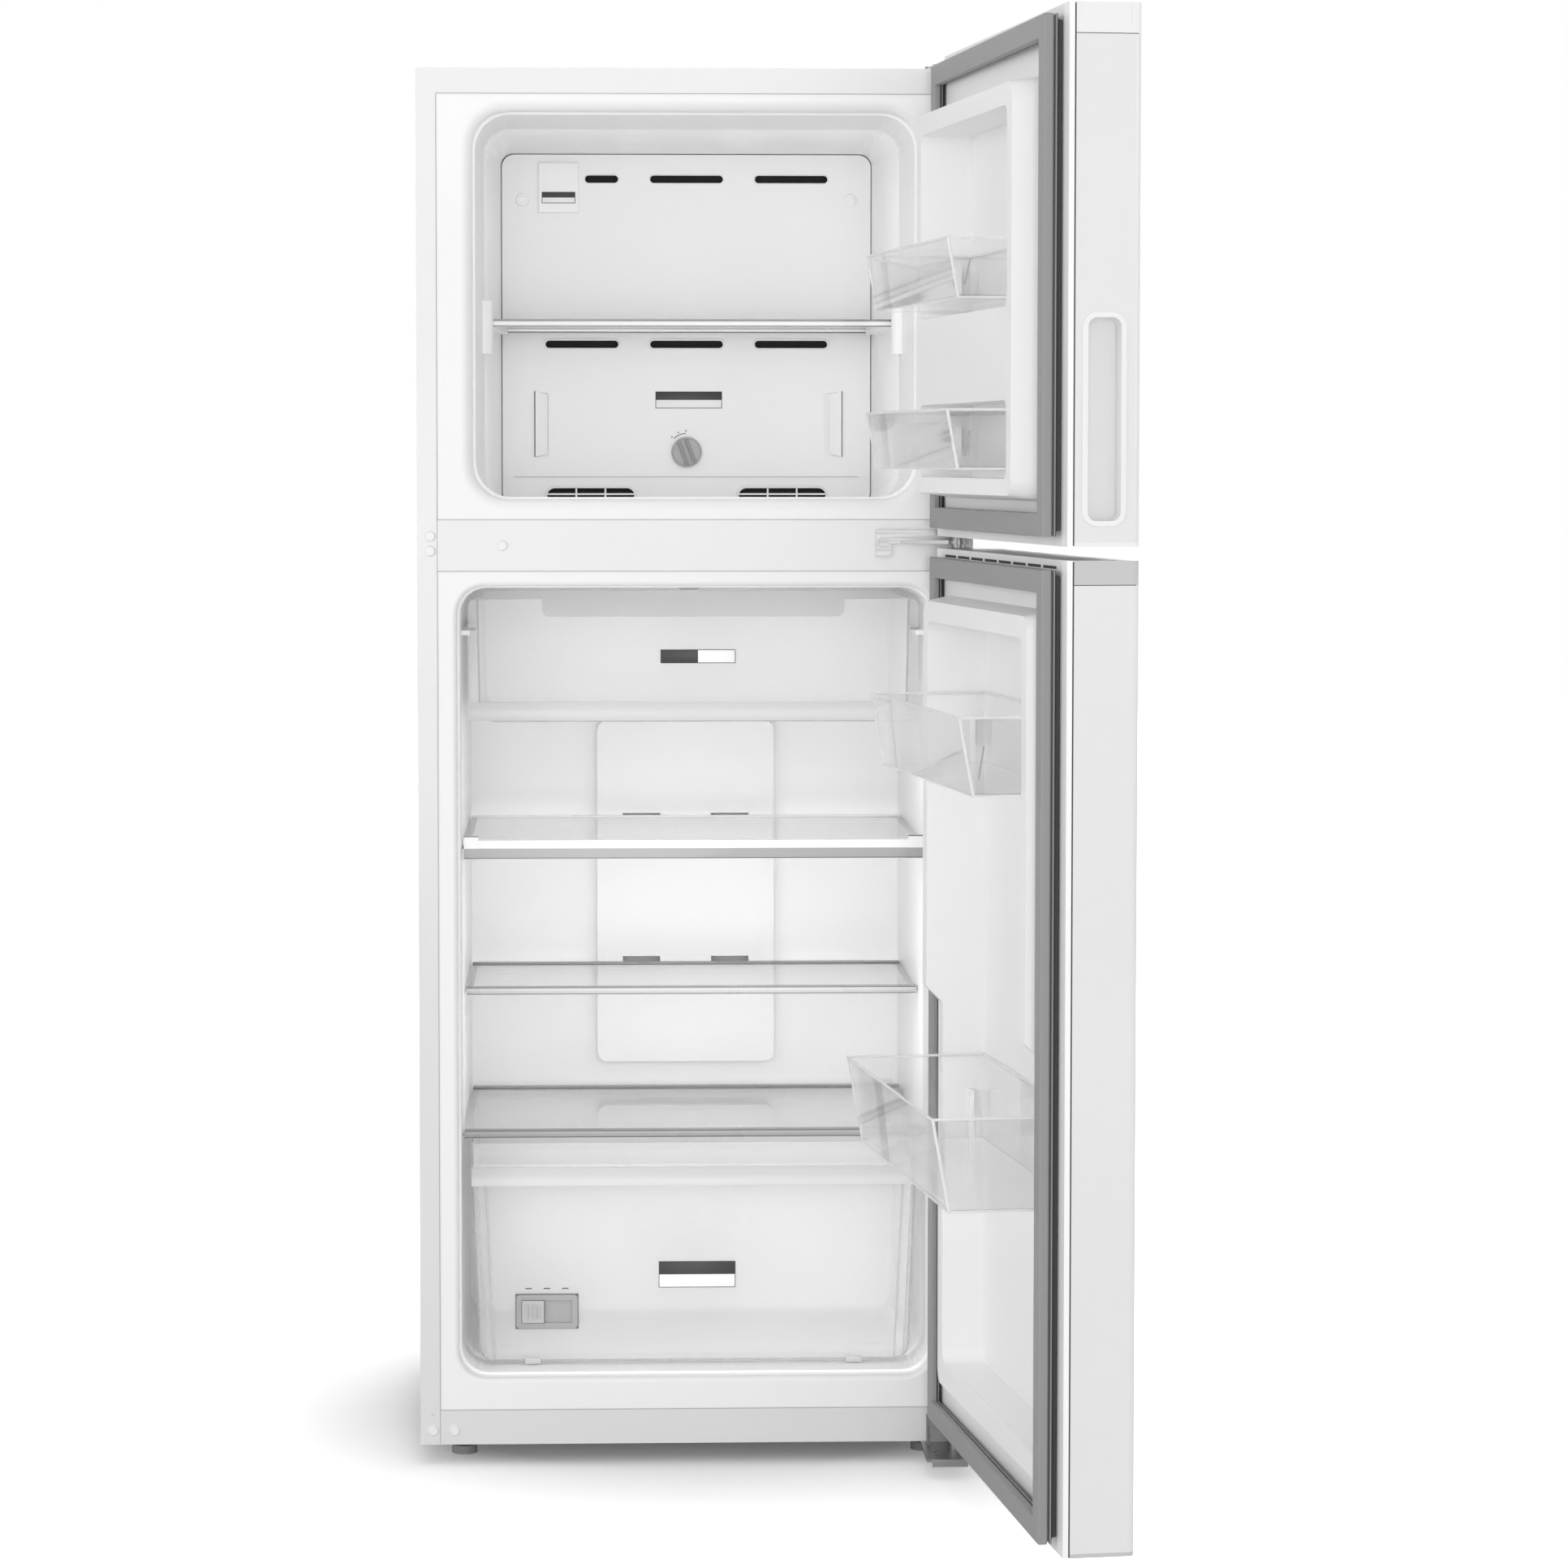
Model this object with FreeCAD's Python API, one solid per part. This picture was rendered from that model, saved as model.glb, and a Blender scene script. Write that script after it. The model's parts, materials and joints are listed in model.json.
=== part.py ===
"""Top freezer refrigerator, 24 inch class, with both doors standing open.

The frame has +X to the right as one faces the appliance, +Y towards its back and +Z up.
The origin is on the floor, below the middle of the cabinet's front face, which the doors close against.
Every size is in millimetres. Door pieces are drawn shut and then turned open about the hinge pins.
"""

import FreeCAD, Part
import math
import os

V = FreeCAD.Vector

# ---- cabinet ----
FLOOR_GAP = 22.0
CABINET_WIDTH = 596.0
CABINET_DEPTH = 560.0
STEEL = 1.2
CABINET_CORNER = 4.0
SIDE_FLANGE = 21.5
TOP_FLANGE = 27.0
FLANGE_RETURN = 11.0
BACK_FLANGE = 12.0
BOTTOM_RAIL_HEIGHT = 37.5
MIDDLE_RAIL_HEIGHT = 55.0
RAIL_RETURN = 16.0
BASE_PLATE = 2.0
BASE_UPSTAND = 18.0

# ---- freezer compartment ----
FREEZER_SILL = 10.0
FREEZER_OPENING_HEIGHT = 437.0
FREEZER_LINTEL = 6.6
FREEZER_SIDE_WALL = 60.0
FREEZER_TAPER = 28.0
FREEZER_BACK_WALL = 108.0
FREEZER_FLARE = 12.0
FREEZER_CORNER = 38.0
FREEZER_BACK_CORNER = 10.0
FREEZER_CEILING_DROP = 21.5
FREEZER_FLOOR_DROP = 13.0

# ---- fridge compartment ----
FRIDGE_SILL = 29.5
FRIDGE_OPENING_HEIGHT = 867.0
FRIDGE_LINTEL = 11.0
FRIDGE_SIDE_WALL = 42.0
FRIDGE_TAPER = 4.0
FRIDGE_BACK_WALL = 98.0
FRIDGE_FLARE = 5.0
FRIDGE_CORNER = 30.0
LINER = 2.0
MOUTH_DEPTH = 22.0
MOUTH_STEP = 2.2
RIM_BEVEL = 0.6
FLAT_CORNER = 0.586
CORNER_FACETS = 8
LINER_RECESS = 0.6
HUMP_DEPTH = 204.0
HUMP_SHOULDER = 196.0
HUMP_TOP = 250.0
MACHINE_WALL = 46.0

# ---- evaporator side of the freezer ----
COVER_DEPTH = 67.0
COVER_WALL = 3.0
COVER_GAP = 1.0
COVER_SLOT_HEIGHT = 8.5
COVER_SLOT_LONG = 84.0
COVER_SLOT_SHORT = 38.0
COVER_SLOT_PITCH = 121.0
COVER_UPPER_SLOTS = 28.0
COVER_LOWER_SLOTS = 218.0
COVER_STEP_RISE = 31.6
COVER_STEP = 1.2
VENT_HEIGHT = 18.0
VENT_WIDTH = 101.0
VENT_OFFSET = 111.0
VENT_BAR = 2.0
VENT_RISE = 12.0
GRIP_INSET = 37.0
GRIP_HEIGHT = 74.0
GRIP_WIDTH = 16.0
GRIP_RISE = 55.0
KNOB_RISE = 60.6
KNOB_RADIUS = 17.5
KNOB_DEPTH = 9.0
KNOB_SHAFT_RADIUS = 4.0
SHAFT_CLEARANCE = 0.08
ICE_COVER_WIDTH = 46.6
ICE_COVER_HEIGHT = 58.0
ICE_COVER_INSET = 42.0
ICE_COVER_DROP = 9.0
ICE_COVER_DEPTH = 3.0

# ---- shelves ----
GLASS = 4.0
TRIM_WALL = 1.5
TRIM_DROP = 2.5
UPPER_TRIM_DROP = 14.5
TRIM_GAP = 1.0
BRACKET_WIDTH = 16.0
BRACKET_RISE = 5.0
LEDGE_WIDTH = 9.0
LEDGE_HEIGHT = 5.0
SHELF_SIDE_GAP = 2.0
FREEZER_SHELF_RISE = 203.0
FREEZER_SHELF_FRONT = 138.0
UPPER_SHELF_RISE = 576.0
UPPER_SHELF_FRONT = 82.0
MIDDLE_SHELF_RISE = 404.0
MIDDLE_SHELF_FRONT = 168.0
CRISPER_SHELF_RISE = 258.0
CRISPER_SHELF_FRONT = 74.0
SHELF_BACK_GAP = 44.0
FREEZER_SHELF_BACK_GAP = 4.0
BOSS_RADIUS = 11.0
BOSS_LENGTH = 58.0
BOSS_DROP = 33.0
TRIM_LAP = 14.0
DUCT_HALF = 104.0
DUCT_DEPTH = 22.0
LIGHT_SETBACK = 154.0
LENS_HALF = 11.0
LENS_DROP = 11.0

# ---- drawers ----
DRAWER_WALL = 2.4
DRAWER_SIDE_GAP = 6.0
CRISPER_FRONT = 60.0
CRISPER_BACK_GAP = 12.0
CRISPER_HEIGHT = 241.0
CRISPER_TAPER = 11.0
CRISPER_LIFT = 3.0
PANTRY_FRONT = 90.0
PANTRY_BACK_GAP = 50.0
PANTRY_HEIGHT = 134.0
PANTRY_NOTCH = 19.0
PANTRY_TOP_GAP = 22.0
HANDLE_HEIGHT = 20.0
HANDLE_DEPTH = 12.0
RUNNER_GAP = 0.4
CRISPER_FOOT_PITCH = 90.0
HUMIDITY_WIDTH = 67.0
HUMIDITY_HEIGHT = 37.0
HUMIDITY_THICKNESS = 3.0
HUMIDITY_RIM = 6  # the plate around the slider's track
HUMIDITY_RIDGES = 4
HUMIDITY_RIDGE = 1.6  # across one ridge
HUMIDITY_RIDGE_RISE = 1.5
HUMIDITY_RISE = 56.0
HUMIDITY_TRAVEL = 30.0
DRAWER_CORNER = 18.0
PANTRY_BODY_INSET = 8.0
PANTRY_NOTCH_INSET = 91.0
PANTRY_RUNNER_DROP = 34.0
PANTRY_RAIL_START = 6.0

# ---- doors ----
DOOR_GAP = 13.0
DOOR_THICKNESS = 70.0
DOOR_SKIN = 1.0
DOOR_CORNER = 7.0
DOOR_BOTTOM_RISE = 26.0
DOOR_TOP_RISE = 8.4
DOOR_SPLIT = 13.0
SPLIT_RISE = 31.5
DOOR_REST_ANGLE = 97.0
HINGE_INSET = 18.0
HINGE_OUT = 33.0
LINER_EDGE = 6.0
FREEZER_CAP = 29.0
FRIDGE_CAP = 23.0
BOTTOM_CAP = 4.0
CAP_WALL = 2.5
CAP_FIELD = 0.8
CAP_FIELD_FRONT = 10.0
CAP_FIELD_BACK = 9.0
CAP_FIELD_RISE = 9.0
FRAME_CLEARANCE = 7.0
FREEZER_FRAME_HEIGHT = 38.0
FRIDGE_FRAME_HEIGHT = 26.0
FRIDGE_LOW_FRAME_HEIGHT = 8.0
FRAME_DRAFT = 6.0
FRAME_WALL = 21.0
FRAME_STEP_RISE = 442.0
RECESS_REACH = 90.0
FOAM_CORNER = 1.36
FREEZER_RECESS = 17.0
FRIDGE_RECESS = 37.0
GASKET_WIDTH = 22.0
GASKET_NECK = 9.0
GASKET_BASE = 3.0
GASKET_HEAD = 5.5
GASKET_SIDE_INSET = 20.0
GASKET_END_INSET = 9.0
GASKET_SQUEEZE = 0.4
GRIP_LENGTH = 190.0
GRIP_OPENING = 32.0
GRIP_POCKET_DEPTH = 24.0
GRIP_SETBACK = 19.0
GRIP_BOTTOM_RISE = 24.0
GRIP_RIM_WIDTH = 5.0
GRIP_RIM_HEIGHT = 1.4

# ---- door bins ----
BIN_WALL = 2.5
BIN_GAP = 0.5
BIN_BOSS = 5.0
BIN_BOSS_LENGTH = 26.0
FREEZER_BIN_HEIGHT = 58.0
FREEZER_BIN_REACH = 96.0
FREEZER_HIGH_BIN_RISE = 208.0
FREEZER_LOW_BIN_RISE = 45.0
SMALL_BIN_HEIGHT = 76.0
SMALL_BIN_REACH = 87.0
SMALL_BIN_DROP = 75.0
LARGE_BIN_HEIGHT = 91.0
LARGE_BIN_REACH = 112.0
LARGE_BIN_RISE = 278.0

# ---- hinges and feet ----
HINGE_PLATE = 3.0
HINGE_PIN_RADIUS = 4.0
PIN_CLEARANCE = 0.06
PIN_REACH = 14.0
BUSHING_RADIUS = 7.0
BUSHING_LENGTH = 16.0
TOP_HINGE_WIDTH = 44.0
TOP_HINGE_LENGTH = 62.0
MIDDLE_PLATE_WIDTH = 76.0
MIDDLE_PLATE_HEIGHT = 29.0
BOTTOM_BRACKET_LENGTH = 88.0
BOTTOM_BRACKET_WIDTH = 50.0
BRACKET_LIP = 5.0
LEG_RADIUS = 14.0
LEG_STEM_RADIUS = 5.0
LEG_SOLE = 9.0
LEG_SETBACK = 62.0
LEG_INSET = 46.0
ROLLER_RADIUS = 15.0
ROLLER_WIDTH = 18.0
ROLLER_AXLE_RADIUS = 3.0
ROLLER_CLEARANCE = 0.08
ROLLER_SETBACK = 46.0
ROLLER_INSET = 40.0
ROLLER_SIDE = 2.0
CHEEK_LENGTH = 24.0
CHEEK_DROP = 9.0
PLUG_RADIUS = 6.0
PLUG_HEAD = 2.2
PLUG_TOP_RADIUS = 4.5
PLUG_FLANGE_INSET = 14.0
PLUG_RAIL_INSET = 91.0
PLUG_LOW_INSET = 15.5
PLUG_LOW_RISE = 15.5
FLANGE_HOLE_RADIUS = 2.0
FLANGE_HOLE_RISE = 33.0
HINGE_ARM = 11.0
MIDDLE_ARM = 4.0
TOP_HINGE_START = 4.0
NOTCH_GAP = 1.0
NOTCH_REACH = 27.0
COLLAR_RADIUS = 8.0
COLLAR_GAP = 0.3
SCREW_HEAD = 5.5
WEB_HEIGHT = 30.0
BRACKET_TAIL = 40.0
LEG_STEM_RISE = 28.0

# ---- refrigeration machinery ----
COMPRESSOR_RADIUS = 68.0
COMPRESSOR_HEIGHT = 150.0
COMPRESSOR_FOOT = 8.0
COMPRESSOR_FOOT_PLATE = 3.0
EVAPORATOR_WIDTH = 340.0
EVAPORATOR_HEIGHT = 170.0
EVAPORATOR_RISE = 40  # its bottom above the cover's
EVAPORATOR_DEPTH = 42.0
FIN_COUNT = 12
FIN_MARGIN = 12.0
BEND_REACH = 8.0
FIN = 1.0
TUBE_RADIUS = 4.0
FAN_RADIUS = 48.0
FAN_HUB_RADIUS = 14.0
FAN_DEPTH = 18.0
FAN_BLADES = 5
FAN_SHAFT_RADIUS = 2.5
FAN_CLEARANCE = 3.0
CONDENSER_WIDTH = 150.0
CONDENSER_DEPTH = 60.0
CONDENSER_HEIGHT = 120.0
CONDENSER_INSET = 36.0
CONDENSER_SETBACK = 14.0
DRAIN_PAN_HEIGHT = 34.0
COMPRESSOR_INSET = 148.0
FAN_MOTOR_DEPTH = 26.0
COVER_SHEET = 1.0
VENT_LINES = 9
VENT_PITCH = 13.0
VENT_LENGTH = 180.0
GLAND_OFFSET = 30.0
GLAND_RISE = 26.0
GLAND_FLANGE = 2.5
GLAND_BORE_RADIUS = 4.5
GLAND_RADIUS = 9.0
GLAND_LENGTH = 14.0

# ---- levels and planes that follow from the sizes above ----
HALF = CABINET_WIDTH / 2
UNDERSIDE = FLOOR_GAP
RAIL_TOP = UNDERSIDE + BOTTOM_RAIL_HEIGHT
FRIDGE_BOTTOM = RAIL_TOP + FRIDGE_SILL
FRIDGE_TOP = FRIDGE_BOTTOM + FRIDGE_OPENING_HEIGHT
MIDDLE_BOTTOM = FRIDGE_TOP + FRIDGE_LINTEL
MIDDLE_TOP = MIDDLE_BOTTOM + MIDDLE_RAIL_HEIGHT
FREEZER_BOTTOM = MIDDLE_TOP + FREEZER_SILL
FREEZER_TOP = FREEZER_BOTTOM + FREEZER_OPENING_HEIGHT
FLANGE_BOTTOM = FREEZER_TOP + FREEZER_LINTEL
CABINET_TOP = FLANGE_BOTTOM + TOP_FLANGE
SEAM = HALF - SIDE_FLANGE
FREEZER_FRONT_HALF = HALF - FREEZER_SIDE_WALL
FREEZER_BACK_HALF = FREEZER_FRONT_HALF - FREEZER_TAPER
FREEZER_DEPTH = CABINET_DEPTH - FREEZER_BACK_WALL
COVER_FRONT = FREEZER_DEPTH - COVER_DEPTH
FREEZER_SHELF_BACK = COVER_FRONT - FREEZER_SHELF_BACK_GAP
FRIDGE_FRONT_HALF = HALF - FRIDGE_SIDE_WALL
FRIDGE_BACK_HALF = FRIDGE_FRONT_HALF - FRIDGE_TAPER
FRIDGE_DEPTH = CABINET_DEPTH - FRIDGE_BACK_WALL
SHELF_BACK = FRIDGE_DEPTH - SHELF_BACK_GAP
LIGHT_DEPTH = FRIDGE_DEPTH - LIGHT_SETBACK
HUMP_FRONT = CABINET_DEPTH - HUMP_DEPTH
CRISPER_DEPTH = HUMP_FRONT - CRISPER_BACK_GAP - CRISPER_FRONT
PANTRY_DEPTH = FRIDGE_DEPTH - DUCT_DEPTH - PANTRY_BACK_GAP - PANTRY_FRONT
HINGE_X = HALF - HINGE_INSET
HINGE_Y = -HINGE_OUT
DOOR_INNER = -DOOR_GAP
DOOR_OUTER = DOOR_INNER - DOOR_THICKNESS
SPLIT = MIDDLE_BOTTOM + SPLIT_RISE
FRIDGE_DOOR_BOTTOM = UNDERSIDE + DOOR_BOTTOM_RISE
FRIDGE_DOOR_TOP = SPLIT - DOOR_SPLIT / 2
FREEZER_DOOR_BOTTOM = SPLIT + DOOR_SPLIT / 2
FREEZER_DOOR_TOP = CABINET_TOP + DOOR_TOP_RISE
FREEZER_FLOOR = FREEZER_BOTTOM + FREEZER_FLARE
FREEZER_CEILING = FREEZER_TOP - FREEZER_FLARE
FRIDGE_FLOOR = FRIDGE_BOTTOM + FRIDGE_FLARE
FRIDGE_CEILING = FRIDGE_TOP - FRIDGE_FLARE
PLATE_TOP = UNDERSIDE + BASE_PLATE
MACHINE_FRONT = HUMP_FRONT + MACHINE_WALL


# ---- plain shapes ----
def box(x0, x1, y0, y1, z0, z1):
    """A block between two corners."""
    return Part.makeBox(x1 - x0, y1 - y0, z1 - z0, V(x0, y0, z0))


def rod(x, y, z, radius, length, along=V(0, 0, 1)):
    """A round bar that starts at the point."""
    return Part.makeCylinder(radius, length, V(x, y, z), along)


def rounded_outline(points, radius):
    """A closed wire through the points, with every corner rounded to the radius."""
    edges = []
    count = len(points)
    starts = []
    ends = []
    for i in range(count):
        corner = points[i]
        to_last = (points[i - 1] - corner).normalize()
        to_next = (points[(i + 1) % count] - corner).normalize()
        half_turn = to_last.getAngle(to_next) / 2
        reach = radius / math.tan(half_turn)
        bisector = (to_last + to_next).normalize()
        middle = corner + bisector * (radius / math.sin(half_turn) - radius)
        starts.append(corner + to_last * reach)
        ends.append(corner + to_next * reach)
        edges.append(Part.Arc(starts[i], middle, ends[i]).toShape())
    for i in range(count):
        edges.append(Part.LineSegment(ends[i - 1], starts[i]).toShape())
    return Part.Wire(Part.__sortEdges__(edges))


def faceted_outline(points, radius):
    """A closed wire through the points, whose square corners are rounded by short straight edges."""
    outline = []
    for i, corner in enumerate(points):
        to_last = (points[i - 1] - corner).normalize()
        to_next = (points[(i + 1) % len(points)] - corner).normalize()
        centre = corner + (to_last + to_next) * radius
        for step in range(CORNER_FACETS + 1):
            turn = math.pi / 2 * step / CORNER_FACETS
            outline.append(centre - to_next * radius * math.cos(turn) - to_last * radius * math.sin(turn))
    return polygon(outline)


def cut_cornered_outline(points, leg):
    """A closed wire through the points, with every corner cut straight at the leg from it."""
    outline = []
    for i, corner in enumerate(points):
        to_last = (points[i - 1] - corner).normalize()
        to_next = (points[(i + 1) % len(points)] - corner).normalize()
        outline += [corner + to_last * leg, corner + to_next * leg]
    return polygon(outline)


def rectangle_xz(half, z0, z1, y, radius):
    """A rounded rectangle across the cabinet, centred on its middle plane."""
    corners = [V(-half, y, z0), V(half, y, z0), V(half, y, z1), V(-half, y, z1)]
    return rounded_outline(corners, radius)


def rectangle_xy(x0, x1, y0, y1, z, radius):
    """A rounded rectangle seen in plan."""
    corners = [V(x0, y0, z), V(x1, y0, z), V(x1, y1, z), V(x0, y1, z)]
    return rounded_outline(corners, radius)


def prism(wire, along):
    """The solid that a flat wire sweeps along a vector."""
    return Part.Face(wire).extrude(along)


def polygon(points):
    """A closed wire with sharp corners."""
    return Part.makePolygon(points + [points[0]])


def turned(start, along, profile):
    """A solid of revolution; the profile lists radius and height, from the axis and back to it."""
    points = [V(radius, 0, height) for radius, height in profile]
    solid = Part.Face(polygon(points)).revolve(V(0, 0, 0), V(0, 0, 1), 360)
    solid.Placement = FreeCAD.Placement(start, FreeCAD.Rotation(V(0, 0, 1), along))
    return solid


def tapered_block(half, low, high, y, radius, far_half, far_low, far_high, far_y, far_radius, flat):
    """A block whose width, height and corners change evenly from y to far_y.

    Its four long edges are rounded by narrow flats that meet their neighbours squarely along the taper,
    or cut by one flat each where flat is set.
    """
    outlines = []
    near_end = (half, low, high, y, radius)
    far_end = (far_half, far_low, far_high, far_y, far_radius)
    for h, z0, z1, y_at, r in (near_end, far_end):
        corners = [V(-h, y_at, z0), V(h, y_at, z0), V(h, y_at, z1), V(-h, y_at, z1)]
        outlines.append(cut_cornered_outline(corners, r * FLAT_CORNER) if flat else faceted_outline(corners, r))
    return Part.makeLoft(outlines, True, True)


# ---- compartments ----
def tub_space(front_half, back_half, low, high, low_back, high_back, depth, corner, back_corner, flare, grow):
    """A tapered compartment with a flared mouth, made larger all round by grow.

    It is a straight mouth, a tapered block behind a small step, and a plate in front of the mouth.
    The compartment itself has its corners and its rim rounded; the hidden back of its liner has them
    cut flat, as far from the rounded ones as the liner is thick.
    """
    face = LINER_RECESS + grow
    half = front_half + grow
    corners = [V(-half, 0, low - grow), V(half, 0, low - grow), V(half, 0, high + grow), V(-half, 0, high + grow)]
    if grow:
        ring = cut_cornered_outline(corners, (corner + grow) * FLAT_CORNER)
    else:
        ring = rounded_outline(corners, corner)
    tub = prism(ring, V(0, MOUTH_DEPTH + grow, 0))
    inset = MOUTH_STEP - grow
    tub = tub.fuse(tapered_block(
        front_half - inset, low + inset, high - inset, MOUTH_DEPTH - 1, corner + grow,
        back_half + grow, low_back - grow, high_back + grow, depth + grow, back_corner + grow, grow > 0,
    ))
    tub = tub.fuse(box(-SEAM, SEAM, -20, face, 0, CABINET_TOP))
    rim = []
    for edge in tub.Edges:
        b = edge.BoundBox
        in_face = abs(b.YMin - face) < 0.01 and b.YLength < 0.01
        if in_face and b.XLength < 2 * SEAM - 1 and b.ZMin > low - grow - 1 and b.ZMax < high + grow + 1:
            rim.append(edge)
    if grow:
        return tub.makeChamfer((flare - grow) * RIM_BEVEL, rim)
    return tub.makeFillet(flare, rim)


def freezer_space(grow):
    return tub_space(
        FREEZER_FRONT_HALF, FREEZER_BACK_HALF, FREEZER_FLOOR, FREEZER_CEILING,
        FREEZER_FLOOR - FREEZER_FLOOR_DROP, FREEZER_CEILING - FREEZER_CEILING_DROP,
        FREEZER_DEPTH, FREEZER_CORNER, FREEZER_BACK_CORNER, FREEZER_FLARE, grow,
    )


def hump(grow):
    """The room at the bottom of the back that the machinery takes, moved back and down by grow."""
    rise = FRIDGE_BOTTOM + HUMP_SHOULDER
    slope = (HUMP_TOP - HUMP_SHOULDER) / (FRIDGE_DEPTH - HUMP_FRONT)
    front = HUMP_FRONT + grow
    drop = grow * math.hypot(1, slope)
    back = CABINET_DEPTH + 50
    corners = [
        V(-HALF, front, UNDERSIDE - 50),
        V(-HALF, front, rise + slope * grow - drop),
        V(-HALF, back, rise + slope * (back - HUMP_FRONT) - drop),
        V(-HALF, back, UNDERSIDE - 50),
    ]
    return prism(polygon(corners), V(CABINET_WIDTH, 0, 0))


def fridge_space(grow):
    tub = tub_space(
        FRIDGE_FRONT_HALF, FRIDGE_BACK_HALF, FRIDGE_FLOOR, FRIDGE_CEILING,
        FRIDGE_FLOOR, FRIDGE_CEILING, FRIDGE_DEPTH, FRIDGE_CORNER, FRIDGE_CORNER, FRIDGE_FLARE, grow,
    )
    return tub.cut(hump(grow))


def half_width_at(front_half, back_half, depth, y):
    """How far a tapered side wall stands from the middle at the depth y."""
    start = MOUTH_DEPTH - 1
    return front_half - MOUTH_STEP + (back_half - front_half + MOUTH_STEP) * (y - start) / (depth - start)


def side_ledges(front_half, back_half, depth, top, y0, y1):
    """A pair of ribs along the side walls with a flat top that a shelf rests on."""
    ribs = []
    for side in (-1, 1):
        wall_front = side * half_width_at(front_half, back_half, depth, y0)
        wall_back = side * half_width_at(front_half, back_half, depth, y1)
        corners = [
            V(wall_front, y0, top),
            V(wall_back, y1, top),
            V(wall_back - side * LEDGE_WIDTH, y1, top),
            V(wall_front - side * LEDGE_WIDTH, y0, top),
        ]
        ribs.append(prism(polygon(corners), V(0, 0, -LEDGE_HEIGHT)))
    return ribs


def freezer_liner():
    shell = freezer_space(LINER).cut(freezer_space(0))
    keep = box(-SEAM, SEAM, LINER_RECESS, CABINET_DEPTH, MIDDLE_TOP, FLANGE_BOTTOM)
    shell = shell.common(keep)
    top = FREEZER_BOTTOM + FREEZER_SHELF_RISE
    ribs = side_ledges(
        FREEZER_FRONT_HALF, FREEZER_BACK_HALF, FREEZER_DEPTH, top,
        FREEZER_SHELF_FRONT + TRIM_LAP + TRIM_GAP, FREEZER_SHELF_BACK - TRIM_LAP - TRIM_GAP,
    )
    y = FREEZER_SHELF_FRONT - BOSS_RADIUS - TRIM_GAP
    half = freezer_half_at(y) + 0.5
    inside = box(-half, half, 0, FREEZER_DEPTH, top - BOSS_LENGTH, CABINET_TOP)
    bosses = [
        rod(side * freezer_half_at(y), y, top - BOSS_DROP, BOSS_RADIUS, BOSS_LENGTH).common(inside)
        for side in (-1, 1)
    ]
    return shell.fuse(ribs + bosses).removeSplitter()


def fridge_liner():
    shell = fridge_space(LINER).cut(fridge_space(0))
    keep = box(-SEAM, SEAM, LINER_RECESS, CABINET_DEPTH, RAIL_TOP, MIDDLE_BOTTOM)
    shell = shell.common(keep)
    ribs = []
    for rise, front in (
        (UPPER_SHELF_RISE, UPPER_SHELF_FRONT),
        (MIDDLE_SHELF_RISE, MIDDLE_SHELF_FRONT),
        (CRISPER_SHELF_RISE, CRISPER_SHELF_FRONT),
    ):
        ribs += side_ledges(
            FRIDGE_FRONT_HALF, FRIDGE_BACK_HALF, FRIDGE_DEPTH, FRIDGE_BOTTOM + rise,
            front + TRIM_LAP + TRIM_GAP, SHELF_BACK - TRIM_LAP - TRIM_GAP,
        )
    return shell.fuse(ribs + pantry_rails()).removeSplitter()


# ---- cabinet shell ----
def outer_cabinet():
    """A sheet wrapped over the sides and the top, with its front and back edges folded in."""
    outline = rounded_outline(
        [
            V(-HALF, 0, UNDERSIDE - 20), V(HALF, 0, UNDERSIDE - 20),
            V(HALF, 0, CABINET_TOP), V(-HALF, 0, CABINET_TOP),
        ],
        CABINET_CORNER,
    )
    inner = rounded_outline(
        [
            V(-HALF + STEEL, 0, UNDERSIDE - 30),
            V(HALF - STEEL, 0, UNDERSIDE - 30),
            V(HALF - STEEL, 0, CABINET_TOP - STEEL),
            V(-HALF + STEEL, 0, CABINET_TOP - STEEL),
        ],
        CABINET_CORNER - STEEL,
    )
    along = V(0, CABINET_DEPTH, 0)
    body = prism(outline, along)
    wrap = body.cut(prism(inner, along))
    front = prism(outline, V(0, STEEL, 0)).cut(box(-SEAM, SEAM, -1, STEEL + 1, 0, FLANGE_BOTTOM))
    x = -HALF + PLUG_FLANGE_INSET
    z = UNDERSIDE + FLANGE_HOLE_RISE
    front = front.cut(rod(x, -1, z, FLANGE_HOLE_RADIUS, STEEL + 2, V(0, 1, 0)))
    pieces = [front]
    for side in (-1, 1):
        near, far = sorted((side * SEAM, side * (SEAM + STEEL)))
        pieces.append(box(near, far, 0, FLANGE_RETURN, UNDERSIDE, FLANGE_BOTTOM))
        near, far = sorted((side * (HALF - STEEL), side * (HALF - BACK_FLANGE)))
        pieces.append(box(near, far, CABINET_DEPTH - STEEL, CABINET_DEPTH, UNDERSIDE, CABINET_TOP - STEEL))
    pieces.append(box(-SEAM - STEEL, SEAM + STEEL, 0, FLANGE_RETURN, FLANGE_BOTTOM, FLANGE_BOTTOM + STEEL))
    pieces.append(
        box(-HALF + STEEL, HALF - STEEL, CABINET_DEPTH - STEEL, CABINET_DEPTH, CABINET_TOP - BACK_FLANGE, CABINET_TOP - STEEL)
    )
    whole = wrap.fuse(pieces)
    return whole.common(box(-HALF, HALF, 0, CABINET_DEPTH, UNDERSIDE, CABINET_TOP)).removeSplitter()


def channel_rail(low, high):
    """A folded cross rail: a front face with a return along its top and bottom."""
    profile = polygon([
        V(-SEAM, 0, low), V(-SEAM, 0, high), V(-SEAM, RAIL_RETURN, high), V(-SEAM, RAIL_RETURN, high - STEEL),
        V(-SEAM, STEEL, high - STEEL), V(-SEAM, STEEL, low + STEEL), V(-SEAM, RAIL_RETURN, low + STEEL),
        V(-SEAM, RAIL_RETURN, low),
    ])
    return prism(profile, V(2 * SEAM, 0, 0))


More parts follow.
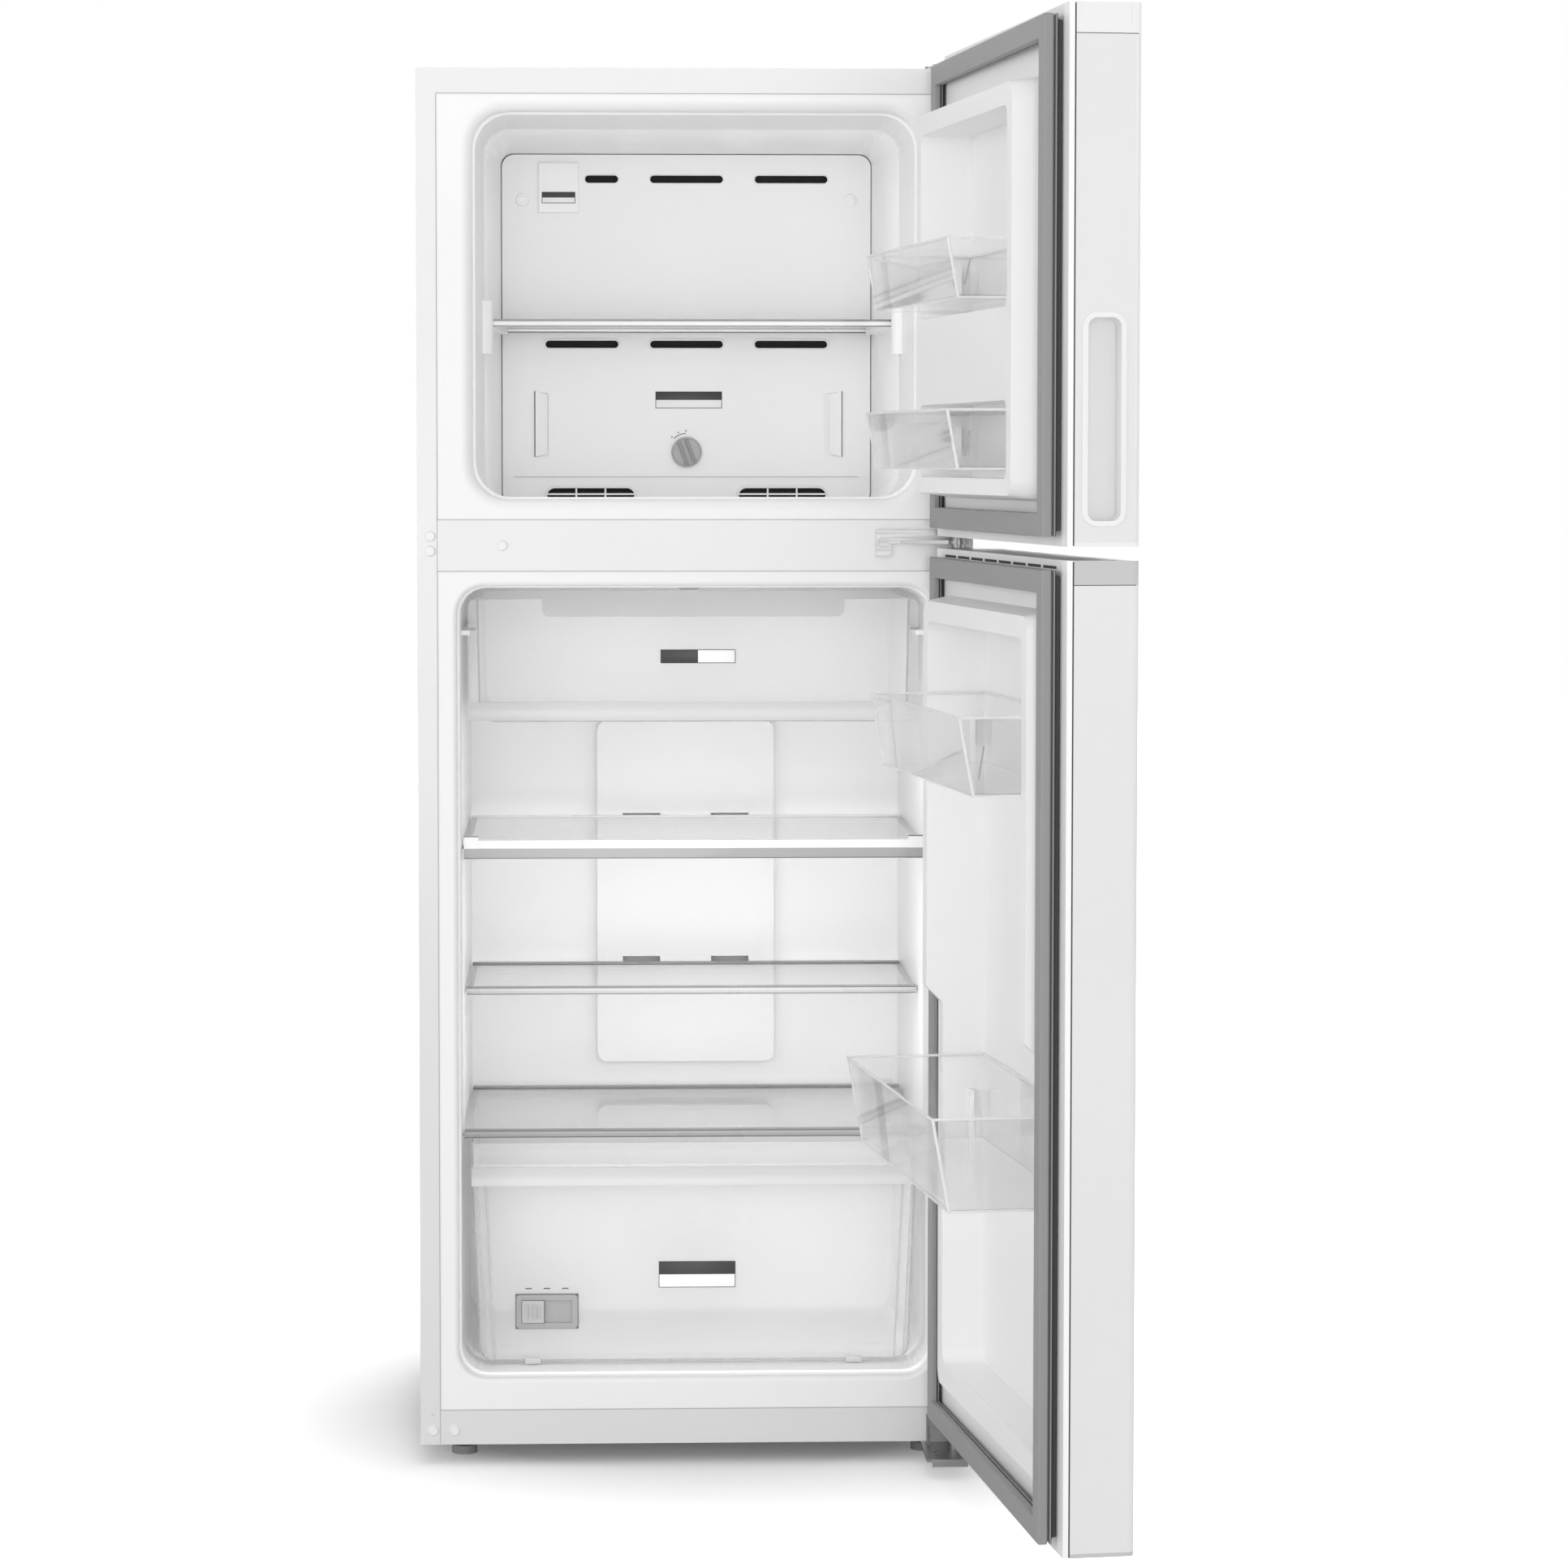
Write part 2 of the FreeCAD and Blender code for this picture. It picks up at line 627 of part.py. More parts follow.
def middle_rail():
    return channel_rail(MIDDLE_BOTTOM, MIDDLE_TOP)


def bottom_rail():
    return channel_rail(UNDERSIDE, RAIL_TOP)


def machine_space():
    """The compartment for the compressor, open at the bottom and the back."""
    across = HALF - STEEL
    return hump(MACHINE_WALL).common(box(-across, across, 0, CABINET_DEPTH, PLATE_TOP, CABINET_TOP))


def machine_ceiling_rise():
    """Where the compartment's sloped ceiling meets the back of the cabinet."""
    return machine_space().common(box(-1, 1, CABINET_DEPTH - 1, CABINET_DEPTH, 0, CABINET_TOP)).BoundBox.ZMax


def back_panel():
    """The plain back sheet, over the foam and above the machine compartment."""
    low = machine_ceiling_rise()
    across = HALF - STEEL
    back = CABINET_DEPTH - STEEL
    sheet = box(-across, across, back - STEEL, back, low, CABINET_TOP - STEEL)
    return sheet


def base_frame():
    """The pressed bottom plate with an upstand on each side and the slots for the rear rollers."""
    across = HALF - STEEL
    plate = box(-across, across, STEEL, CABINET_DEPTH - STEEL, UNDERSIDE, PLATE_TOP)
    upstands = []
    for side in (-1, 1):
        near, far = sorted((side * across, side * (across - BASE_PLATE)))
        upstands.append(box(near, far, MACHINE_FRONT, CABINET_DEPTH - STEEL, PLATE_TOP, PLATE_TOP + BASE_UPSTAND))
    frame = plate.fuse(upstands)
    frame = frame.cut(channel_rail(UNDERSIDE, RAIL_TOP))
    for side in (-1, 1):
        near, far = sorted((side * SEAM, side * (SEAM + STEEL)))
        frame = frame.cut(box(near, far, 0, FLANGE_RETURN, 0, RAIL_TOP))
    y = CABINET_DEPTH - ROLLER_SETBACK
    for x in roller_places():
        width = ROLLER_WIDTH / 2 + ROLLER_SIDE
        slot = ROLLER_RADIUS + 3
        frame = frame.cut(box(x - width, x + width, y - slot, y + slot, 0, PLATE_TOP + 1))
        cheek_low = UNDERSIDE - CHEEK_DROP
        for side in (-1, 1):
            near, far = sorted((x + side * width, x + side * (width + BASE_PLATE)))
            frame = frame.fuse(box(near, far, y - CHEEK_LENGTH / 2, y + CHEEK_LENGTH / 2, cheek_low, PLATE_TOP))
        reach = width + BASE_PLATE + 1
        frame = frame.fuse(rod(x - reach, y, ROLLER_RADIUS, ROLLER_AXLE_RADIUS, 2 * reach, V(1, 0, 0)))
    for x, y in leg_places():
        frame = frame.cut(rod(x, y, 0, LEG_STEM_RADIUS + SHAFT_CLEARANCE, PLATE_TOP + 1))
    return frame.removeSplitter()


def roller_places():
    return (-HALF + ROLLER_INSET, HALF - ROLLER_INSET)


def leg_places():
    return ((-HALF + LEG_INSET, LEG_SETBACK), (HALF - LEG_INSET, LEG_SETBACK))


def foam_insulation():
    """The foam that fills the cabinet between the steel outside and the two liners."""
    across = HALF - STEEL
    back = CABINET_DEPTH - 2 * STEEL
    block = box(-across, across, STEEL, back, PLATE_TOP, CABINET_TOP - STEEL)
    corner = prism(
        rounded_outline(
            [
                V(-across, 0, UNDERSIDE - 30), V(across, 0, UNDERSIDE - 30),
                V(across, 0, CABINET_TOP - STEEL), V(-across, 0, CABINET_TOP - STEEL),
            ],
            CABINET_CORNER - STEEL,
        ),
        V(0, CABINET_DEPTH, 0),
    )
    block = block.common(corner)
    keep_off = [
        freezer_space(LINER), fridge_space(LINER), hump(MACHINE_WALL),
        outer_cabinet(), middle_rail(), bottom_rail(), base_frame(),
    ]
    foam = block.cut(keep_off)
    for x, y in leg_places():
        foam = foam.cut(rod(x, y, 0, LEG_STEM_RADIUS + 2, UNDERSIDE + LEG_STEM_RISE + 4))
    return foam


# ---- doors: drawn shut, then turned open ----
def swing(shape):
    """Turns a door piece from shut to the angle it stands open at."""
    turned = shape.copy()
    turned.rotate(V(HINGE_X, HINGE_Y, 0), V(0, 0, 1), DOOR_REST_ANGLE)
    return turned


def door_outline(z, inset, y_back):
    """The door's plan outline, with its two front corners rounded."""
    x = HALF - inset
    y = DOOR_OUTER + inset
    r = DOOR_CORNER - inset
    left_arc = Part.Arc(
        V(-x, y + r, z), V(-x + r * (1 - math.sqrt(0.5)), y + r * (1 - math.sqrt(0.5)), z), V(-x + r, y, z)
    ).toShape()
    right_arc = Part.Arc(
        V(x - r, y, z), V(x - r * (1 - math.sqrt(0.5)), y + r * (1 - math.sqrt(0.5)), z), V(x, y + r, z)
    ).toShape()
    return Part.Wire([
        left_arc,
        Part.makeLine(V(-x + r, y, z), V(x - r, y, z)),
        right_arc,
        Part.makeLine(V(x, y + r, z), V(x, y_back, z)),
        Part.makeLine(V(x, y_back, z), V(-x, y_back, z)),
        Part.makeLine(V(-x, y_back, z), V(-x, y + r, z)),
    ])


def door_skin(low, high):
    """The steel skin: the front with both sides folded back, open inside."""
    back = DOOR_INNER - LINER_EDGE
    outer = prism(door_outline(low, 0, back), V(0, 0, high - low))
    inner = prism(door_outline(low, DOOR_SKIN, back + 1), V(0, 0, high - low))
    return outer.cut(inner)


def door_cap(low, high, open_below, crown):
    """An end cap of the door: a moulded tray that the foam rises into, its end wall as thick as its crown."""
    back = DOOR_INNER - LINER_EDGE
    block = prism(door_outline(low, 0, back), V(0, 0, high - low))
    if not open_below:
        return block
    z0 = low - 1
    room = prism(door_outline(z0, CAP_WALL, back - CAP_WALL), V(0, 0, high - crown - z0))
    return block.cut(room)


def frame_block(half, low, high, height, grow, corner):
    """The raised frame of a door liner, with drafted sides, smaller by grow."""
    y0 = DOOR_INNER - LINER - 1
    y1 = DOOR_INNER + height - grow
    tip_low = low + FRAME_DRAFT + grow
    tip_high = high - FRAME_DRAFT - grow
    r = corner * FOAM_CORNER if grow else corner
    return tapered_block(
        half - grow, low + grow, high - grow, y0, r,
        half - FRAME_DRAFT - grow, tip_low, tip_high, y1, r, grow > 0,
    )


def recess_block(half, low, high, depth, grow, corner):
    """The pocket in a door liner, larger by grow."""
    y0 = DOOR_INNER - depth - grow
    half += grow
    corners = [V(-half, y0, low - grow), V(half, y0, low - grow), V(half, y0, high + grow), V(-half, y0, high + grow)]
    if grow:
        outline = cut_cornered_outline(corners, (corner + grow) * FLAT_CORNER)
    else:
        outline = rounded_outline(corners, corner)
    return prism(outline, V(0, depth + RECESS_REACH, 0))


def freezer_frame_half():
    return FREEZER_FRONT_HALF - FRAME_CLEARANCE


def fridge_frame_half():
    return FRIDGE_FRONT_HALF - FRAME_CLEARANCE


def freezer_frame_low():
    return FREEZER_FLOOR + FRAME_CLEARANCE - 5


def freezer_frame_high():
    return FREEZER_CEILING - FRAME_CLEARANCE


def fridge_frame_low():
    return FRIDGE_FLOOR + FRAME_CLEARANCE


def fridge_frame_high():
    return FRIDGE_CEILING - FRAME_CLEARANCE


def fridge_pocket_high():
    """The top of the pocket in the fridge door's liner."""
    return fridge_frame_high() - FRAME_DRAFT - FRAME_WALL


def freezer_frame(grow):
    half = freezer_frame_half()
    low = freezer_frame_low()
    high = freezer_frame_high()
    raised = frame_block(half, low, high, FREEZER_FRAME_HEIGHT, grow, 16)
    inside = half - FRAME_DRAFT - FRAME_WALL
    plateau_top = FREEZER_BOTTOM + FREEZER_HIGH_BIN_RISE - 8
    plateau_bottom = FREEZER_BOTTOM + FREEZER_LOW_BIN_RISE + FREEZER_BIN_HEIGHT + 8
    upper = recess_block(inside, plateau_top, high - FRAME_DRAFT - FRAME_WALL, FREEZER_RECESS, grow, 10)
    lower = recess_block(
        inside, FREEZER_BOTTOM + FREEZER_LOW_BIN_RISE - 9, plateau_bottom, FREEZER_RECESS, grow, 10
    )
    return raised, [upper, lower]


def fridge_frame(grow):
    half = fridge_frame_half()
    low = fridge_frame_low()
    high = fridge_frame_high()
    step = FRIDGE_BOTTOM + FRAME_STEP_RISE
    raised = frame_block(half, low, high, FRIDGE_FRAME_HEIGHT, grow, 16)
    lower_front = DOOR_INNER + FRIDGE_LOW_FRAME_HEIGHT - grow
    drop = FRIDGE_FRAME_HEIGHT - FRIDGE_LOW_FRAME_HEIGHT
    away = prism(
        polygon([
            V(-half, lower_front, low - 10), V(-half, lower_front, step - drop - grow),
            V(-half, lower_front + 2 * drop, step + drop - grow), V(-half, lower_front + 2 * drop, low - 10),
        ]),
        V(2 * half, 0, 0),
    )
    raised = raised.cut(away)
    inside = half - FRAME_DRAFT - FRAME_WALL
    pocket = recess_block(
        inside, low + FRAME_DRAFT + FRAME_WALL, fridge_pocket_high(), FRIDGE_RECESS, grow, 14
    )
    return raised, [pocket]


def door_foam(low, high, cap, frame, crown):
    """The foam in a door: it fills the skin, both caps and the back of the liner's raised frame."""
    raised, recesses = frame(LINER)
    core = prism(
        door_outline(low + BOTTOM_CAP, DOOR_SKIN, DOOR_INNER - LINER_EDGE), V(0, 0, high - cap - low - BOTTOM_CAP)
    )
    top = prism(
        door_outline(high - cap, CAP_WALL, DOOR_INNER - LINER_EDGE - CAP_WALL), V(0, 0, cap - crown)
    )
    under_liner = box(
        -HALF + DOOR_SKIN, HALF - DOOR_SKIN, DOOR_INNER - LINER_EDGE, DOOR_INNER - LINER,
        low + BOTTOM_CAP, high - cap,
    )
    return core.fuse([top, under_liner, raised]).cut(recesses).removeSplitter()


def door_liner(low, high, frame, foam):
    """The moulded inner face of a door: a flat border, a raised frame and the pocket inside it."""
    raised, recesses = frame(0)
    behind = box(-HALF, HALF, DOOR_OUTER, DOOR_INNER, low, high)
    backs = [back.common(behind) for back in frame(LINER)[1]]
    border = box(-HALF, HALF, DOOR_INNER - LINER_EDGE, DOOR_INNER, low, high)
    shell = border.fuse([raised] + backs).cut(recesses).cut(foam)
    bosses = bin_bosses(frame)
    return shell.fuse(bosses).removeSplitter()


def bin_places(frame):
    """Each bin of a door: its floor, its height and how far it reaches in from the door."""
    if frame is freezer_frame:
        return (
            (FREEZER_BOTTOM + FREEZER_HIGH_BIN_RISE, FREEZER_BIN_HEIGHT, FREEZER_BIN_REACH),
            (FREEZER_BOTTOM + FREEZER_LOW_BIN_RISE, FREEZER_BIN_HEIGHT, FREEZER_BIN_REACH),
        )
    return (
        (fridge_pocket_high() - SMALL_BIN_DROP - SMALL_BIN_HEIGHT, SMALL_BIN_HEIGHT, SMALL_BIN_REACH),
        (FRIDGE_BOTTOM + LARGE_BIN_RISE, LARGE_BIN_HEIGHT, LARGE_BIN_REACH),
    )


def pocket_half(frame):
    """Half the width of the pocket that the door's bins hang in."""
    if frame is freezer_frame:
        return freezer_frame_half() - FRAME_DRAFT - FRAME_WALL
    return fridge_frame_half() - FRAME_DRAFT - FRAME_WALL


def pocket_floor(frame):
    """The plane of the pocket's floor when the door is shut."""
    return DOOR_INNER - (FREEZER_RECESS if frame is freezer_frame else FRIDGE_RECESS)


def bin_bosses(frame):
    """The ribs on the pocket's side walls that the bins hook over."""
    bosses = []
    half = pocket_half(frame)
    y0 = pocket_floor(frame) + 12
    for floor, height, reach in bin_places(frame):
        for side in (-1, 1):
            near, far = sorted((side * half, side * (half - BIN_BOSS)))
            low = floor + height * 0.3
            bosses.append(box(near, far, y0, y0 + BIN_BOSS, low, low + BIN_BOSS_LENGTH))
    return bosses


def door_bin(frame, place):
    """A clear bin: sloping front, two ends with a slot over the liner's ribs, and a back rail."""
    floor, height, reach = place
    half = pocket_half(frame) - BIN_GAP
    back = pocket_floor(frame) + BIN_GAP
    front_top = DOOR_INNER + reach
    lean = height * 0.18
    corners = [
        V(-half, back, floor), V(-half, front_top - lean, floor),
        V(-half, front_top, floor + height), V(-half, back, floor + height),
    ]
    outer = prism(polygon(corners), V(2 * half, 0, 0))
    inner_corners = [
        V(-half + BIN_WALL, back + BIN_WALL, floor + BIN_WALL),
        V(-half + BIN_WALL, front_top - lean - BIN_WALL, floor + BIN_WALL),
        V(-half + BIN_WALL, front_top - BIN_WALL + lean * 0.1, floor + height + 5),
        V(-half + BIN_WALL, back + BIN_WALL, floor + height + 5),
    ]
    inner = prism(polygon(inner_corners), V(2 * (half - BIN_WALL), 0, 0))
    shell = outer.cut(inner)
    y0 = pocket_floor(frame) + 12
    low = floor + height * 0.3
    slot = box(-half - 1, half + 1, y0 - BIN_GAP, y0 + BIN_BOSS + BIN_GAP, floor - 1, low + BIN_BOSS_LENGTH)
    ends = slot.cut(box(-half + BIN_BOSS + 1, half - BIN_BOSS - 1, DOOR_OUTER, CABINET_DEPTH, 0, CABINET_TOP))
    return shell.cut(ends)


def gasket(low, high):
    """The magnetic seal: a base in the liner's border, a folded neck and a flat magnet strip."""
    rings = []
    for width, y0, y1 in (
        (GASKET_WIDTH, DOOR_INNER, DOOR_INNER + GASKET_BASE),
        (GASKET_NECK, DOOR_INNER + GASKET_BASE, -GASKET_SQUEEZE - GASKET_HEAD),
        (GASKET_WIDTH - 4, -GASKET_SQUEEZE - GASKET_HEAD, -GASKET_SQUEEZE),
    ):
        inset = (GASKET_WIDTH - width) / 2
        half = HALF - GASKET_SIDE_INSET - inset
        z0 = low + GASKET_END_INSET + inset
        z1 = high - GASKET_END_INSET - inset
        outer = box(-half, half, y0, y1, z0, z1)
        inner = box(-half + width, half - width, y0 - 1, y1 + 1, z0 + width, z1 - width)
        rings.append(outer.cut(inner))
    return rings[0].fuse(rings[1:]).removeSplitter()


def bushing(z, down):
    """A flanged sleeve in the door's end that turns on a hinge pin."""
    along = V(0, 0, -1 if down else 1)
    sleeve = rod(HINGE_X, HINGE_Y, z, BUSHING_RADIUS, BUSHING_LENGTH, along)
    hole = rod(HINGE_X, HINGE_Y, z, HINGE_PIN_RADIUS + PIN_CLEARANCE, PIN_REACH + 1, along)
    return sleeve.cut(hole)


def handle_pocket():
    """The moulded cup of the recessed grip in the latch edge of the freezer door."""
    low = FREEZER_DOOR_BOTTOM + GRIP_BOTTOM_RISE
    y1 = DOOR_INNER - GRIP_SETBACK
    y0 = y1 - GRIP_OPENING

    def cup(grow, depth, x):
        outline = rounded_outline(
            [
                V(x, y0 - grow, low - grow), V(x, y1 + grow, low - grow),
                V(x, y1 + grow, low + GRIP_LENGTH + grow), V(x, y0 - grow, low + GRIP_LENGTH + grow),
            ],
            9 + grow,
        )
        return prism(outline, V(depth, 0, 0))

    opening = cup(0, GRIP_POCKET_DEPTH + GRIP_RIM_HEIGHT, -HALF - GRIP_RIM_HEIGHT)
    rim = cup(GRIP_RIM_WIDTH, GRIP_RIM_HEIGHT, -HALF - GRIP_RIM_HEIGHT)
    edge = [e for e in rim.Edges if e.BoundBox.XMax < -HALF - GRIP_RIM_HEIGHT / 2]
    rim = rim.makeChamfer(GRIP_RIM_HEIGHT / 2, edge)
    return cup(LINER, GRIP_POCKET_DEPTH + LINER, -HALF), rim, opening


# ---- hinges, feet and rollers ----
def top_hinge():
    """The plate screwed to the cabinet's top, with the pin that the freezer door hangs on."""
    low = CABINET_TOP
    foot = rectangle_xy(HALF - TOP_HINGE_WIDTH - 8, HALF - 8, TOP_HINGE_START, TOP_HINGE_START + TOP_HINGE_LENGTH, low, 8)
    arm = box(HINGE_X - HINGE_ARM, HINGE_X + HINGE_ARM, HINGE_Y, TOP_HINGE_START + 12, low, low + HINGE_PLATE)
    eye = rod(HINGE_X, HINGE_Y, low, HINGE_ARM, HINGE_PLATE)
    pin = rod(HINGE_X, HINGE_Y, low - NOTCH_GAP - PIN_REACH, HINGE_PIN_RADIUS, NOTCH_GAP + PIN_REACH + HINGE_PLATE)
    return prism(foot, V(0, 0, HINGE_PLATE)).fuse([arm, eye, pin]).removeSplitter()


def middle_hinge():
    """The bent plate on the middle rail, with an arm between the doors and a pin up and a pin down."""
    half_plate = MIDDLE_ARM / 2
    low = SPLIT - MIDDLE_PLATE_HEIGHT * 0.55
    high = SPLIT + MIDDLE_PLATE_HEIGHT * 0.45
    right = HINGE_X + HINGE_ARM
    left = right - MIDDLE_PLATE_WIDTH - 2 * HINGE_ARM
    lobe = MIDDLE_PLATE_WIDTH * 0.22
    outline = rounded_outline(
        [
            V(left, 0, low), V(left + lobe, 0, low), V(left + lobe, 0, SPLIT - half_plate),
            V(right, 0, SPLIT - half_plate), V(right, 0, high), V(left, 0, high),
        ],
        1.9,
    )
    plate = prism(outline, V(0, -HINGE_PLATE, 0))
    arm_left = left + lobe + 10
    arm = polygon([
        V(arm_left, 0, SPLIT - half_plate), V(arm_left, -HINGE_PLATE, SPLIT - half_plate),
        V(HINGE_X - HINGE_ARM, HINGE_Y, SPLIT - half_plate), V(right, HINGE_Y, SPLIT - half_plate),
        V(right, 0, SPLIT - half_plate),
    ])
    pieces = [prism(arm, V(0, 0, MIDDLE_ARM)), rod(HINGE_X, HINGE_Y, SPLIT - half_plate, HINGE_ARM, MIDDLE_ARM)]
    reach = DOOR_SPLIT / 2 + PIN_REACH
    pieces.append(rod(HINGE_X, HINGE_Y, SPLIT - reach, HINGE_PIN_RADIUS, 2 * reach))
    collar = DOOR_SPLIT / 2 - COLLAR_GAP
    pieces.append(rod(HINGE_X, HINGE_Y, SPLIT - collar, COLLAR_RADIUS, 2 * collar))
    screw = rod(left + lobe / 2, -HINGE_PLATE, SPLIT - 1, SCREW_HEAD, 2.5, V(0, -1, 0))
    pieces.append(screw)
    return plate.fuse(pieces).removeSplitter()


def bottom_hinge():
    """The bracket under the cabinet: a plate with a lipped front edge, a web on the rail and the lower pin."""
    right = HALF - 4
    left = right - BOTTOM_BRACKET_WIDTH
    low = UNDERSIDE - HINGE_PLATE
    outline = rectangle_xy(left, right, -BOTTOM_BRACKET_LENGTH, BRACKET_TAIL, low, 6)
    plate = prism(outline, V(0, 0, HINGE_PLATE))
    lip = box(left + 6, right - 6, -BOTTOM_BRACKET_LENGTH, -BOTTOM_BRACKET_LENGTH + HINGE_PLATE, low - BRACKET_LIP, low)
    web = box(left + 6, right - 2, -HINGE_PLATE, 0, UNDERSIDE, UNDERSIDE + WEB_HEIGHT)
    gusset = prism(
        polygon([
            V(left + 6, 0, UNDERSIDE), V(left + 6, -HINGE_Y * -0.7, UNDERSIDE),
            V(left + 6, 0, UNDERSIDE + WEB_HEIGHT),
        ]),
        V(HINGE_PLATE, 0, 0),
    )
    rise = DOOR_BOTTOM_RISE - COLLAR_GAP
    collar = rod(HINGE_X, HINGE_Y, UNDERSIDE, COLLAR_RADIUS, rise)
    pin = rod(HINGE_X, HINGE_Y, UNDERSIDE, HINGE_PIN_RADIUS, DOOR_BOTTOM_RISE + PIN_REACH)
    whole = plate.fuse([lip, web, gusset, collar, pin])
    for y in (-BOTTOM_BRACKET_LENGTH + 20, -BOTTOM_BRACKET_LENGTH + 36):
        whole = whole.cut(rod(left + 14, y, low - 1, 4, HINGE_PLATE + 2))
    return whole.removeSplitter()


def leveling_leg(place):
    """A screwed leg with a broad sole; its stem stands in the base plate's hole."""
    x, y = place
    sole = rod(x, y, 0, LEG_RADIUS, LEG_SOLE)
    return sole.fuse(rod(x, y, LEG_SOLE, LEG_STEM_RADIUS, UNDERSIDE + LEG_STEM_RISE - LEG_SOLE))


def roller(x):
    """A rear roller, bored for its axle."""
    y = CABINET_DEPTH - ROLLER_SETBACK
    x0 = x - ROLLER_WIDTH / 2
    wheel = rod(x0, y, ROLLER_RADIUS, ROLLER_RADIUS, ROLLER_WIDTH, V(1, 0, 0))
    return wheel.cut(rod(x0, y, ROLLER_RADIUS, ROLLER_AXLE_RADIUS + ROLLER_CLEARANCE, ROLLER_WIDTH, V(1, 0, 0)))


def plug(x, z):
    """A push-in plug: a low head with sloping sides against the sheet."""
    return Part.makeCone(PLUG_RADIUS, PLUG_TOP_RADIUS, PLUG_HEAD, V(x, 0, z), V(0, -1, 0))


def hole_plugs():
    """The plugs in the unused hinge holes on the left: the doors can be hung on either side."""
    flange = -HALF + PLUG_FLANGE_INSET
    places = (
        (flange, SPLIT + 6), (flange, SPLIT - 10),
        (-HALF + PLUG_RAIL_INSET, SPLIT - 4),
        (flange, UNDERSIDE + PLUG_LOW_RISE), (-SEAM + PLUG_LOW_INSET, UNDERSIDE + PLUG_LOW_RISE),
    )
    return Part.makeCompound([plug(x, z) for x, z in places])


# ---- behind the freezer's back panel ----
def freezer_half_at(y):
    return half_width_at(FREEZER_FRONT_HALF, FREEZER_BACK_HALF, FREEZER_DEPTH, y)


def fridge_half_at(y):
    return half_width_at(FRIDGE_FRONT_HALF, FRIDGE_BACK_HALF, FRIDGE_DEPTH, y)


def freezer_floor_at(y):
    """The height of the freezer's sloping floor at the depth y."""
    start = MOUTH_DEPTH - 1
    front = FREEZER_FLOOR + MOUTH_STEP
    return front - (FREEZER_FLOOR_DROP + MOUTH_STEP) * (y - start) / (FREEZER_DEPTH - start)


def freezer_corner_at(y):
    """The radius of the freezer's corners at the depth y."""
    back_share = (y - MOUTH_DEPTH + 1) / (FREEZER_DEPTH - MOUTH_DEPTH + 1)
    return FREEZER_CORNER + (FREEZER_BACK_CORNER - FREEZER_CORNER) * back_share


def cover_bottom():
    return freezer_floor_at(COVER_FRONT) + COVER_GAP


def cover_top():
    start = MOUTH_DEPTH - 1
    front = FREEZER_CEILING - MOUTH_STEP
    fall = (FREEZER_CEILING_DROP - MOUTH_STEP) * (COVER_FRONT - start) / (FREEZER_DEPTH - start)
    return front - fall - COVER_GAP


def cover_half():
    return freezer_half_at(COVER_FRONT) - COVER_GAP


def long_slot(x0, x1, z, height):
    """A cutter for a level slot with round ends through the panel."""
    r = height / 2
    y0 = COVER_FRONT - 5
    length = COVER_WALL + 10
    middle = box(x0 + r, x1 - r, y0, y0 + length, z - r, z + r)
    ends = [rod(x, y0, z, r, length, V(0, 1, 0)) for x in (x0 + r, x1 - r)]
    return middle.fuse(ends).removeSplitter()


def evaporator_cover():
    """The freezer's back panel: a shallow moulded box with air slots, bottom vents and grip recesses.

    Its sides follow the liner's walls to the back; its lowest band is set back by a small step.
    """
    low = cover_bottom()
    high = cover_top()
    half = cover_half()
    back_half = FREEZER_BACK_HALF - COVER_GAP
    back_low = FREEZER_FLOOR - FREEZER_FLOOR_DROP + COVER_GAP
    back_high = FREEZER_CEILING - FREEZER_CEILING_DROP - COVER_GAP
    w = COVER_WALL
    corner = freezer_corner_at(COVER_FRONT)
    front_cut = corner / FLAT_CORNER
    back_cut = FREEZER_BACK_CORNER / FLAT_CORNER
    face = prism(rectangle_xz(half, low, high, COVER_FRONT, corner), V(0, w, 0))
    skirt = tapered_block(
        half, low, high, COVER_FRONT, front_cut, back_half, back_low, back_high, FREEZER_DEPTH, back_cut, True
    )
    room = tapered_block(
        half - w, low + w, high - w, COVER_FRONT + w, front_cut,
        back_half - w, back_low + w, back_high - w, FREEZER_DEPTH + 1, back_cut, True,
    )
    panel = face.fuse(skirt).cut(room)
    cuts = []
    for row, short_place in ((high - COVER_UPPER_SLOTS, -1), (high - COVER_LOWER_SLOTS, None)):
        for place in (-1, 0, 1):
            centre = place * COVER_SLOT_PITCH
            length = COVER_SLOT_LONG
            if place == short_place:
                length = COVER_SLOT_SHORT
                centre += (COVER_SLOT_LONG - COVER_SLOT_SHORT) / 2
            cuts.append(long_slot(centre - length / 2, centre + length / 2, row, COVER_SLOT_HEIGHT))
    vent = low + VENT_RISE
    y0 = COVER_FRONT - w
    y1 = COVER_FRONT + 2 * w
    for side in (-1, 1):
        x = side * VENT_OFFSET
        hole = long_slot(x - VENT_WIDTH / 2, x + VENT_WIDTH / 2, vent, VENT_HEIGHT)
        bars = [box(x - VENT_WIDTH, x + VENT_WIDTH, y0, y1, vent - VENT_BAR / 2, vent + VENT_BAR / 2)]
        for column in (-1, 1):
            bar = x + column * VENT_WIDTH / 6
            bars.append(box(bar - VENT_BAR / 2, bar + VENT_BAR / 2, y0, y1, vent - VENT_HEIGHT, vent + VENT_HEIGHT))
        cuts.append(hole.cut(bars))
        x0, x1 = sorted((side * (half - GRIP_INSET), side * (half - GRIP_INSET - GRIP_WIDTH)))
        z0 = low + GRIP_RISE
        cuts.append(box(x0, x1, y0, COVER_FRONT + w / 2, z0, z0 + GRIP_HEIGHT))
    cuts.append(box(-half, half, y0, COVER_FRONT + COVER_STEP, low - 1, low + COVER_STEP_RISE))
    cuts.append(rod(0, y0, low + KNOB_RISE, KNOB_SHAFT_RADIUS + SHAFT_CLEARANCE, 3 * w, V(0, 1, 0)))
    return panel.cut(cuts)


